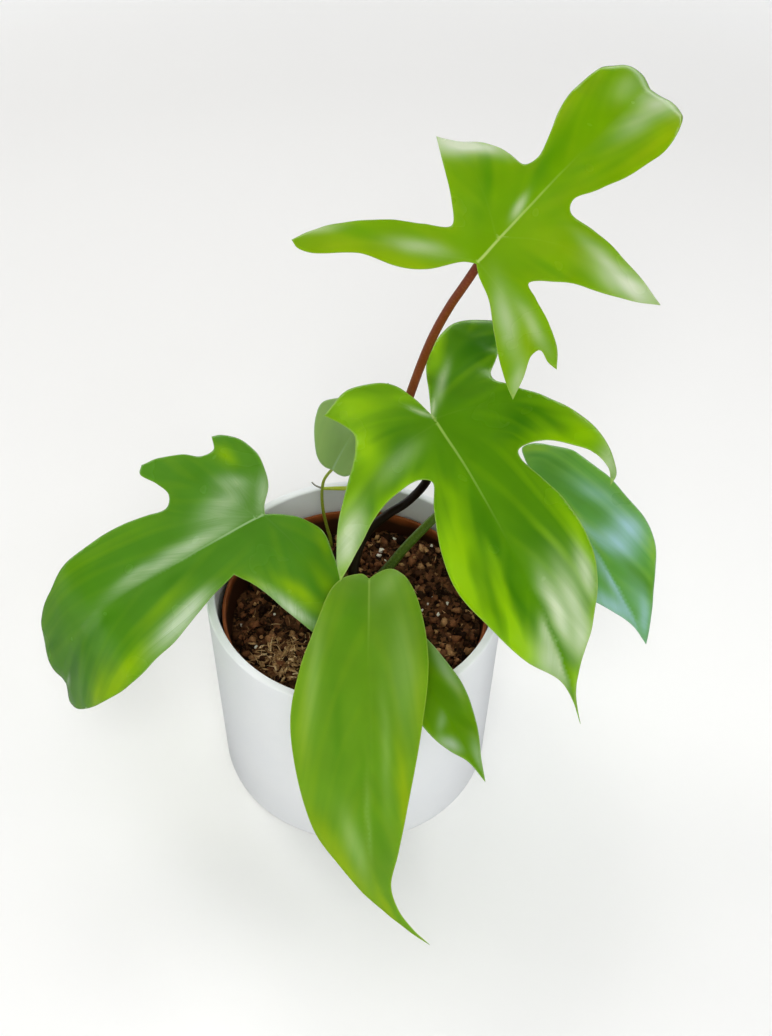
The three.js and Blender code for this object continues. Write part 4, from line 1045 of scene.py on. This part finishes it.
def soil_disc(radius):
    """A fine flat grid that fills a circle: its points, its faces and, in order, its edge."""
    deselect()
    count = int(2 * radius / SOIL_STEP)
    bpy.ops.mesh.primitive_grid_add(x_subdivisions=count, y_subdivisions=count, size=2 * radius * MM)
    grid = bpy.context.object
    flat = np.array([v.co[:2] for v in grid.data.vertices]) / MM
    outside = np.hypot(*flat.T) > radius
    faces = [tuple(p.vertices) for p in grid.data.polygons if not outside[list(p.vertices)].all()]
    bpy.data.objects.remove(grid)
    used = sorted({v for f in faces for v in f})
    renumber = {v: i for i, v in enumerate(used)}
    faces = [tuple(renumber[v] for v in f) for f in faces]
    flat = flat[used]
    far = np.hypot(*flat.T)
    flat = np.where((far > radius)[:, None], flat * (radius / np.maximum(far, 1e-6))[:, None], flat)
    directed = {(f[i], f[(i + 1) % len(f)]) for f in faces for i in range(len(f))}
    following = {p: q for p, q in directed if (q, p) not in directed}
    edge = [min(following)]
    while following[edge[-1]] != edge[0]:
        edge.append(following[edge[-1]])
    return flat, faces, edge


def soil():
    """The soil, with a crumbly top and a hidden side that narrows with the nursery pot."""
    flat, faces, edge = soil_disc(nursery_radius(SOIL_Z) - NURSERY_WALL - SOIL_GAP)
    x, y = flat.T
    height = soil_height(x, y)
    for size, rise, seed in SOIL_LUMPS:
        away = [noise.voronoi(Vector((a / size, b / size, seed)))[0][0] for a, b in zip(x, y)]
        height = height + rise * (LUMP_MIDDLE - np.array(away))
    height = height + SOIL_DUST["height"] * patches(x, y, SOIL_DUST["size"], SOIL_DUST["seed"])
    top = np.column_stack([x, y, height])
    shrink = nursery_radius(SOIL_Z - SOIL_DEPTH) / nursery_radius(SOIL_Z)
    foot = [(x[v] * shrink, y[v] * shrink, SOIL_Z - SOIL_DEPTH) for v in edge]
    under = {v: len(top) + i for i, v in enumerate(edge)}
    faces += [(q, p, under[p], under[q]) for p, q in zip(edge, edge[1:] + edge[:1])]
    faces.append(tuple(under[v] for v in reversed(edge)))
    piece = mesh_object("potting_soil", np.vstack([top, foot]), faces)
    finish_piece(piece, soil_finish(("#2E1C12", "#80583C", "#C09A6E")), ["soil"])


def lumps(name, places, seed, sides, rough):
    """Irregular lumps in one mesh: each a small ball pushed out of shape, at its place and size. Its
    `tone` is a random value for each lump."""
    deselect()
    bpy.ops.mesh.primitive_uv_sphere_add(segments=sides, ring_count=sides // 2 + 1, radius=1)
    ball = bpy.context.object
    shape = np.array([v.co[:] for v in ball.data.vertices])
    ball_faces = [tuple(p.vertices) for p in ball.data.polygons]
    bpy.data.objects.remove(ball)
    draw = random.Random(seed)
    vertices, faces, tones = [], [], []
    for place, size in places:
        shift = Vector([draw.uniform(-50, 50) for _ in range(3)])
        push = np.array([1 + rough * noise.noise(Vector(p) * LUMP_DENTS + shift) for p in shape])
        about, over = (Matrix.Rotation(draw.uniform(0, FULL_TURN), 3, axis) for axis in "ZX")
        first = len(shape) * len(vertices)
        faces.extend(tuple(first + v for v in face) for face in ball_faces)
        vertices.append((shape * push[:, None] * size) @ np.array(about @ over).T + place)
        tones.append(draw.random())
    piece = mesh_object(name, np.vstack(vertices), faces)
    store(piece, "tone", np.repeat(tones, len(shape)))
    return piece


def strands(name, lines, sides, seed):
    """Thin tapered strands in one mesh, each along its points with its own radius and random `tone`."""
    draw = random.Random(seed)
    vertices, faces, tones = [], [], []
    for points, radius in lines:
        path = smooth_curve(points, step=1.0)
        first = len(vertices)
        for k, place in enumerate(path):
            ahead = path[min(k + 1, len(path) - 1)] - path[max(k - 1, 0)]
            ahead = Vector(ahead).normalized()
            side = ahead.cross(Vector((0, 0, 1))).normalized()
            over = side.cross(ahead)
            thin = radius * (1 - FIBRE_TAPER * abs(2 * k / (len(path) - 1) - 1))
            for c in range(sides):
                turn = math.tau * c / sides
                out = math.cos(turn) * side + math.sin(turn) * over
                vertices.append(tuple(Vector(place) + thin * out))
        for k in range(len(path) - 1):
            for c in range(sides):
                p, q = first + sides * k + c, first + sides * k + (c + 1) % sides
                faces.append((p, p + sides, q + sides, q))
        faces.append(tuple(first + c for c in range(sides)))
        faces.append(tuple(len(vertices) - 1 - c for c in range(sides)))
        tones.extend([draw.random()] * (len(vertices) - first))
    piece = mesh_object(name, vertices, faces)
    store(piece, "tone", tones)
    return piece


def bits_reach():
    """How far from the middle of the pot the loose bits may lie."""
    return nursery_radius(SOIL_Z) - NURSERY_WALL - BITS_MARGIN


def ground(x, y):
    return float(soil_height(np.array([x]), np.array([y]))[0])


def anywhere(draw):
    radius = bits_reach() * math.sqrt(draw.random())
    angle = draw.uniform(0, math.tau)
    return radius * math.cos(angle), radius * math.sin(angle)


def on_clump(draw):
    x, y = (draw.gauss(CLUMP[axis], spread) for axis, spread in zip("xy", TUFT_SPREAD))
    far = max(1, math.hypot(x, y) / bits_reach())
    return x / far, y / far


def crumbs(draw):
    """Loose crumbs of many sizes all over the soil, most of them small."""
    low, high = CRUMB["size"]
    places = []
    for _ in range(CRUMB["count"]):
        x, y = anywhere(draw)
        size = low + (high - low) * draw.random()**3
        shape = (size, size * draw.uniform(*CRUMB["width"]), size * CRUMB["height"])
        places.append(((x, y, ground(x, y) + CRUMB["lift"] * size), shape))
    piece = lumps("soil_crumbs", places, seed=5, sides=8, rough=1)
    finish_piece(piece, crumb_finish("peat crumbs", ("#2C1B11", "#885C3E", "#C09A6E")))


def perlite(draw):
    """White grains between the crumbs: those that show in the photograph, and a few more."""
    places = []
    for x, y, size in SEEN_PERLITE["at"]:
        place = (x, y, ground(x, y) + SEEN_PERLITE["lift"])
        places.append((place, tuple(size * s for s in SEEN_PERLITE["shape"])))
    for _ in range(PERLITE["count"]):
        x, y = anywhere(draw)
        size = draw.uniform(*PERLITE["size"])
        place = (x, y, ground(x, y) + PERLITE["lift"])
        places.append((place, tuple(size * s for s in PERLITE["shape"])))
    piece = lumps("perlite", places, seed=6, sides=16, rough=0.8)
    white = plain_grain_finish("expanded perlite", "#D6CFC0", "#F4EFE4", 0.6, 0.85)
    finish_piece(piece, white)


def chips(draw, coir):
    """A tuft of flat pale chips on the clump."""
    places = []
    for _ in range(CHIP["count"]):
        x, y = on_clump(draw)
        size = draw.uniform(*CHIP["size"])
        place = (x, y, ground(x, y) + draw.uniform(*CHIP["lift"]))
        places.append((place, tuple(size * s for s in CHIP["shape"])))
    piece = lumps("coir_chips", places, seed=9, sides=8, rough=1)
    finish_piece(piece, coir)


def fibres(draw, coir):
    """Bowed pale fibres, most of them in the tuft."""
    lines = []
    for i in range(FIBRE["count"]):
        x, y = on_clump(draw) if i % LOOSE_FIBRE else anywhere(draw)
        length = draw.uniform(*FIBRE["length"])
        angle = draw.uniform(0, math.pi)
        bow = draw.uniform(-FIBRE["bow"], FIBRE["bow"])
        points = []
        for k in (-1, 0, 1):
            points.append((x, y, ground(x, y) + draw.uniform(*FIBRE["lift"])))
            x += length / 2 * math.cos(angle + bow * k)
            y += length / 2 * math.sin(angle + bow * k)
        if max(math.hypot(p[0], p[1]) for p in points) < bits_reach():
            lines.append((points, draw.uniform(*FIBRE["radius"])))
    piece = strands("soil_fibres", lines, sides=5, seed=10)
    finish_piece(piece, coir)


def soil_bits():
    """Loose crumbs and white perlite on the soil, and a tuft of pale chips and fibres."""
    draw = random.Random(BITS_SEED)
    coir = crumb_finish("coir chips and fibres", ("#8A6846", "#CCA87A", "#EED6AC"))
    crumbs(draw)
    perlite(draw)
    chips(draw, coir)
    fibres(draw, coir)


# The plant's stems

def crown():
    length = CROWN.z - SOIL_Z + CROWN_DEPTH
    shoulder = length - CROWN_TOP
    half = shoulder / (CROWN_RINGS * 2)
    waist = CROWN_RADIUS - CROWN_RING_DEPTH
    foot = CROWN.z - length
    profile = [(waist, foot)]
    for i in range(1, CROWN_RINGS * 2):
        profile.append((CROWN_RADIUS if i % 2 else waist, foot + half * i))
    for i in range(1, CROWN_TOP_RINGS + 1):
        a = math.radians(90 * i / (CROWN_TOP_RINGS + 0.5))
        profile.append((waist * math.cos(a), foot + shoulder + CROWN_TOP * math.sin(a)))
    piece = turned("stem_crown", profile, CROWN_SIDES)
    for v in piece.data.vertices:
        rough = 1 + CROWN_ROUGH * noise.noise(v.co * CROWN_BUMPS)
        v.co = Vector((v.co.x * rough + CROWN.x * MM, v.co.y * rough + CROWN.y * MM, v.co.z))
    bark = plain_grain_finish("corky stem", "#4B4420", "#7E7A3E", 2.5, 0.7)
    finish_piece(piece, bark, ["crown"])


def joint_under(leaf, radius):
    """Where a stalk's round end runs into the underside of the midrib."""
    place, normal = leaf_frame(leaf, np.array([0.0]), np.array([float(JOINT_Y)]))
    return tuple(place[0] - normal[0] * (BLADE / 2 + radius * JOINT_DROP))


def leaf_stalk(name, stalk, material, slot):
    turn = math.radians(stalk["turn"])
    start = (CROWN.x + CROWN_RADIUS / 2 * math.cos(turn), CROWN.y + CROWN_RADIUS / 2 * math.sin(turn),
             stalk["z"])
    points = [start, *stalk["points"], joint_under(stalk["leaf"], stalk["radii"][-1])]
    piece = rod(f"stalk_{name}", points, stalk["radii"], sides=20, step=1.2)
    finish_piece(piece, material, [f"{name}_leaf_stalk"])


def side_shoot():
    green = stalk_finish("young green stem", "#8A9430", "#9AA838", "#A0B24A", "#B9C47A")
    end = joint_under(YOUNG_LEAF, SHOOT["radii"][-1])
    stem = rod("shoot_stem", [*SHOOT["points"], end], SHOOT["radii"], sides=14, step=1)
    finish_piece(stem, green, ["side_shoot"])
    points = [tuple(SHOOT_NODE + Vector(p)) for p in ROLLED["points"]]
    leaf = rod("rolled_blade", points, ROLLED["radii"], sides=14, step=0.6)
    lime = stalk_finish("rolled young leaf", "#A9B83C", "#B7C23E", "#9CB034", "#D3D98A")
    finish_piece(leaf, lime, ["rolled_leaf"])
    points = [tuple(SHOOT_NODE + Vector(p)) for p in SHEATH["points"]]
    scrap = rod("dry_sheath_tip", points, SHEATH["radii"], sides=10, step=0.4)
    dry = plain_grain_finish("dried sheath", "#77736C", "#A39E94", 0.8, 0.9)
    finish_piece(scrap, dry, ["sheath_tip"])


# Stage, light and camera

FLOOR_SIZE = 8
FLOOR_NEAR = 0.6                       # from here outward the floor glows, where the lamps don't reach
FLOOR_FAR = 1.5
FLOOR_GLOW = 0.58


def stage():
    """The plain pale floor that the pot stands on."""
    deselect()
    bpy.ops.mesh.primitive_plane_add(size=FLOOR_SIZE)
    floor = bpy.context.object
    floor.name = "floor"
    material = new_material("pale floor")
    place = add_node(material, "TexCoord", output="Object")
    away = add_node(material, "VectorMath", {0: place}, output="Value", operation="LENGTH")
    glow = add_node(material, "MapRange",
                    {"Value": away, "From Min": FLOOR_NEAR, "From Max": FLOOR_FAR,
                     "To Min": 0, "To Max": FLOOR_GLOW}, interpolation_type="SMOOTHSTEP")
    feed(material, shader(material), {
        "Base Color": "#F8F7F5", "Roughness": 0.6, "Emission Color": "#F6F8FB",
        "Emission Strength": glow})
    floor.data.materials.append(material)
    floor.visible_glossy = False


# Light: pale walls all round, brighter behind, and softboxes. Each softbox has the direction that it
# stands in, in degrees to the right of the back and above the horizon, its size in metres, its power in
# watts and its tint, and faces the plant from the same distance. The wax mirrors the walls, and neither
# the softboxes nor the floor.

BACK_WALL_LIGHT = 2
FRONT_WALL_LIGHT = 0.5
GROUND_LIGHT = 0.35
BACKDROP_LIGHT = 0.8                   # how bright the room itself looks
WALL_TOP = 0.15                        # sines of the heights where the walls start to fade and end
WALL_END = 0.55
LIT_PLACE = Vector((0, 0, 0.16))
SOFTBOX_DISTANCE = 1.5
SOFTBOXES = [
    ("overhead softbox", 180, 86, 1.4, 5.5, "#FFFFFF"),
    ("fill softbox", 178, 50, 0.6, 7.2, "#FFFFFF"),
    ("low front softbox", 180, 18, 1.2, 5.2, "#FFFFFF"),
    ("back softbox", 0, 55, 0.6, 3, "#FFFFFF"),
    ("left back softbox", -50, 48, 0.6, 4, "#FFFEFA"),
    ("right back softbox", 72, 46, 0.6, 2.1, "#FFFFFF"),
    ("right front softbox", 132, 44, 0.4, 2.1, "#F2F7FF"),
]


def area_light(name, azimuth, height, size, power, tint):
    around, up = math.radians(azimuth), math.radians(height)
    direction = Vector((math.sin(around) * math.cos(up), math.cos(around) * math.cos(up), math.sin(up)))
    light = bpy.data.lights.new(name, "AREA")
    light.size = size
    light.energy = power
    light.color = colour(tint)[:3]
    lamp = bpy.data.objects.new(name, light)
    lamp.location = LIT_PLACE + direction * SOFTBOX_DISTANCE
    lamp.rotation_euler = direction.to_track_quat("Z", "Y").to_euler()
    lamp.visible_glossy = False
    bpy.context.scene.collection.objects.link(lamp)


def lighting():
    world = bpy.data.worlds.new("pale room")
    world.use_nodes = True
    direction = add_node(world, "TexCoord", output="Generated")
    backward = add_node(world, "SeparateXYZ", {0: direction}, output="Y")
    upward = add_node(world, "SeparateXYZ", {0: direction}, output="Z")
    wall = add_node(world, "MapRange",
                    {"Value": backward, "From Min": -0.2, "From Max": 0.4, "To Min": FRONT_WALL_LIGHT,
                     "To Max": BACK_WALL_LIGHT}, interpolation_type="SMOOTHSTEP")
    fade = add_node(world, "MapRange",
                    {"Value": upward, "From Min": WALL_TOP, "From Max": WALL_END,
                     "To Min": 1, "To Max": 0}, interpolation_type="SMOOTHSTEP")
    above = add_node(world, "Math", {0: wall, 1: fade}, operation="MULTIPLY")
    horizon = add_node(world, "MapRange", {"Value": upward, "From Min": -0.05, "From Max": 0.05})
    light = add_node(world, "Mix", {0: horizon, "A": GROUND_LIGHT, "B": above})
    seen = add_node(world, "LightPath", output="Is Camera Ray")
    strength = add_node(world, "Mix", {0: seen, "A": light, "B": BACKDROP_LIGHT})
    feed(world, world.node_tree.nodes["Background"], {"Color": "#F6F8FB", "Strength": strength})
    bpy.context.scene.world = world
    for softbox in SOFTBOXES:
        area_light(*softbox)
    bpy.context.scene.view_settings.view_transform = "Standard"
    bpy.context.scene.view_settings.look = "Medium High Contrast"


CAMERA_PLACE = (0.0133, -0.424, 0.602)
CAMERA_PITCH = 46.4                    # degrees below the horizon
CAMERA_ROLL = 1.22
CAMERA_LENS = 49.55


def camera():
    """The photograph's view."""
    lens = bpy.data.cameras.new("camera")
    lens.lens = CAMERA_LENS
    view = bpy.data.objects.new("camera", lens)
    bpy.context.scene.collection.objects.link(view)
    view.matrix_world = (Matrix.Translation(CAMERA_PLACE)
                         @ Matrix.Rotation(math.radians(90 - CAMERA_PITCH), 4, "X")
                         @ Matrix.Rotation(math.radians(CAMERA_ROLL), 4, "Z"))
    bpy.context.scene.camera = view


# Each leaf with its shape, its material, the material's shades and what is special about it, its slot
# in the record and the node that it replaces. The last shade is the pale painted sheen, a painted
# reflection of the wax.

LEAVES = [
    ("leaf_top", TOP_LEAF, "waxy lime leaf",
     ("#578A00", "#709902", "#88A404", "#A8BE64", "#8CA834", "#8FB04C", "#C4CCB2"),
     {"streaks": 0.7}, "lime_leaf", "top_leaf_blade"),
    ("leaf_middle", MIDDLE_LEAF, "waxy two-tone leaf",
     ("#3F7407", "#5A8A09", "#8AB402", "#92B056", "#9CB45A", "#86AC50", "#C2CEAC"),
     {"streaks": 0.6, "brushed": 0.2}, "lime_leaf", "middle_leaf_blade"),
    ("leaf_left", LEFT_LEAF, "waxy mid green leaf",
     ("#407806", "#578A22", "#8AAE04", "#98B880", "#8CA85A", "#7FA65A", "#BCCCAC"),
     {"streaks": 0.35, "brushed": 0.6}, "green_leaf", "left_leaf_blade"),
    ("leaf_front", FRONT_LEAF, "satin mid green leaf",
     ("#568A0D", "#6A951A", "#88A404", "#86A83E", "#A0B844", "#86A860", "#A4C074"),
     {"rough": 0.5, "streaks": 0.5}, "green_leaf", "front_leaf_blade"),
    ("leaf_front_right", FRONT_RIGHT_LEAF, "waxy dark green leaf",
     ("#568200", "#649004", "#7A9A0A", "#7CA844", "#96B46C", "#7FA65A", "#A8BC9C"),
     {"rough": 0.3}, "deep_leaf", "front_right_leaf_blade"),
    ("leaf_back_right", BACK_RIGHT_LEAF, "waxy bluish leaf",
     ("#568A22", "#629846", "#84AC3C", "#7CA86C", "#86A88A", "#7FA687", "#9CBEC2"),
     {"rough": 0.28, "brushed": 0.3}, "deep_leaf", "back_right_leaf_blade"),
    ("leaf_young", YOUNG_LEAF, "waxy grey-green leaf",
     ("#728C50", "#829E5E", "#90A864", "#8CA67A", "#A4BA98", "#86A88A", "#B8CCB2"),
     {"rough": 0.36}, "deep_leaf", "young_blade"),
]


def leaves():
    for seed, (name, leaf, stuff, shades, special, slot, node) in enumerate(LEAVES, 1):
        piece = leaf_blade(name, leaf, seed)
        finish_piece(piece, leaf_finish(stuff, shades, **special), [node])


def stems():
    red = stalk_finish("reddish leaf stalk", "#5A5A22", "#864820", "#783820", "#96663A")
    # Nearly black: partly the stalk's own dark brown, partly painted shade where it runs under the
    # leaves
    dark = stalk_finish("dark leaf stalk", "#2C2410", "#180D06", "#22140A", "#382418")
    green = stalk_finish("green leaf stalk", "#2E3E0E", "#56701E", "#7C9434", "#8A9A44")
    slots = {"top": (red, "red_stalk"), "middle": (dark, "dark_stalk")}
    for name, stalk in STALKS.items():
        leaf_stalk(name, stalk, *slots.get(name, (green, "green_stalk")))


camera()
lighting()
stage()
cover_pot()
nursery_pot()
soil()
soil_bits()
crown()
stems()
side_shoot()
leaves()
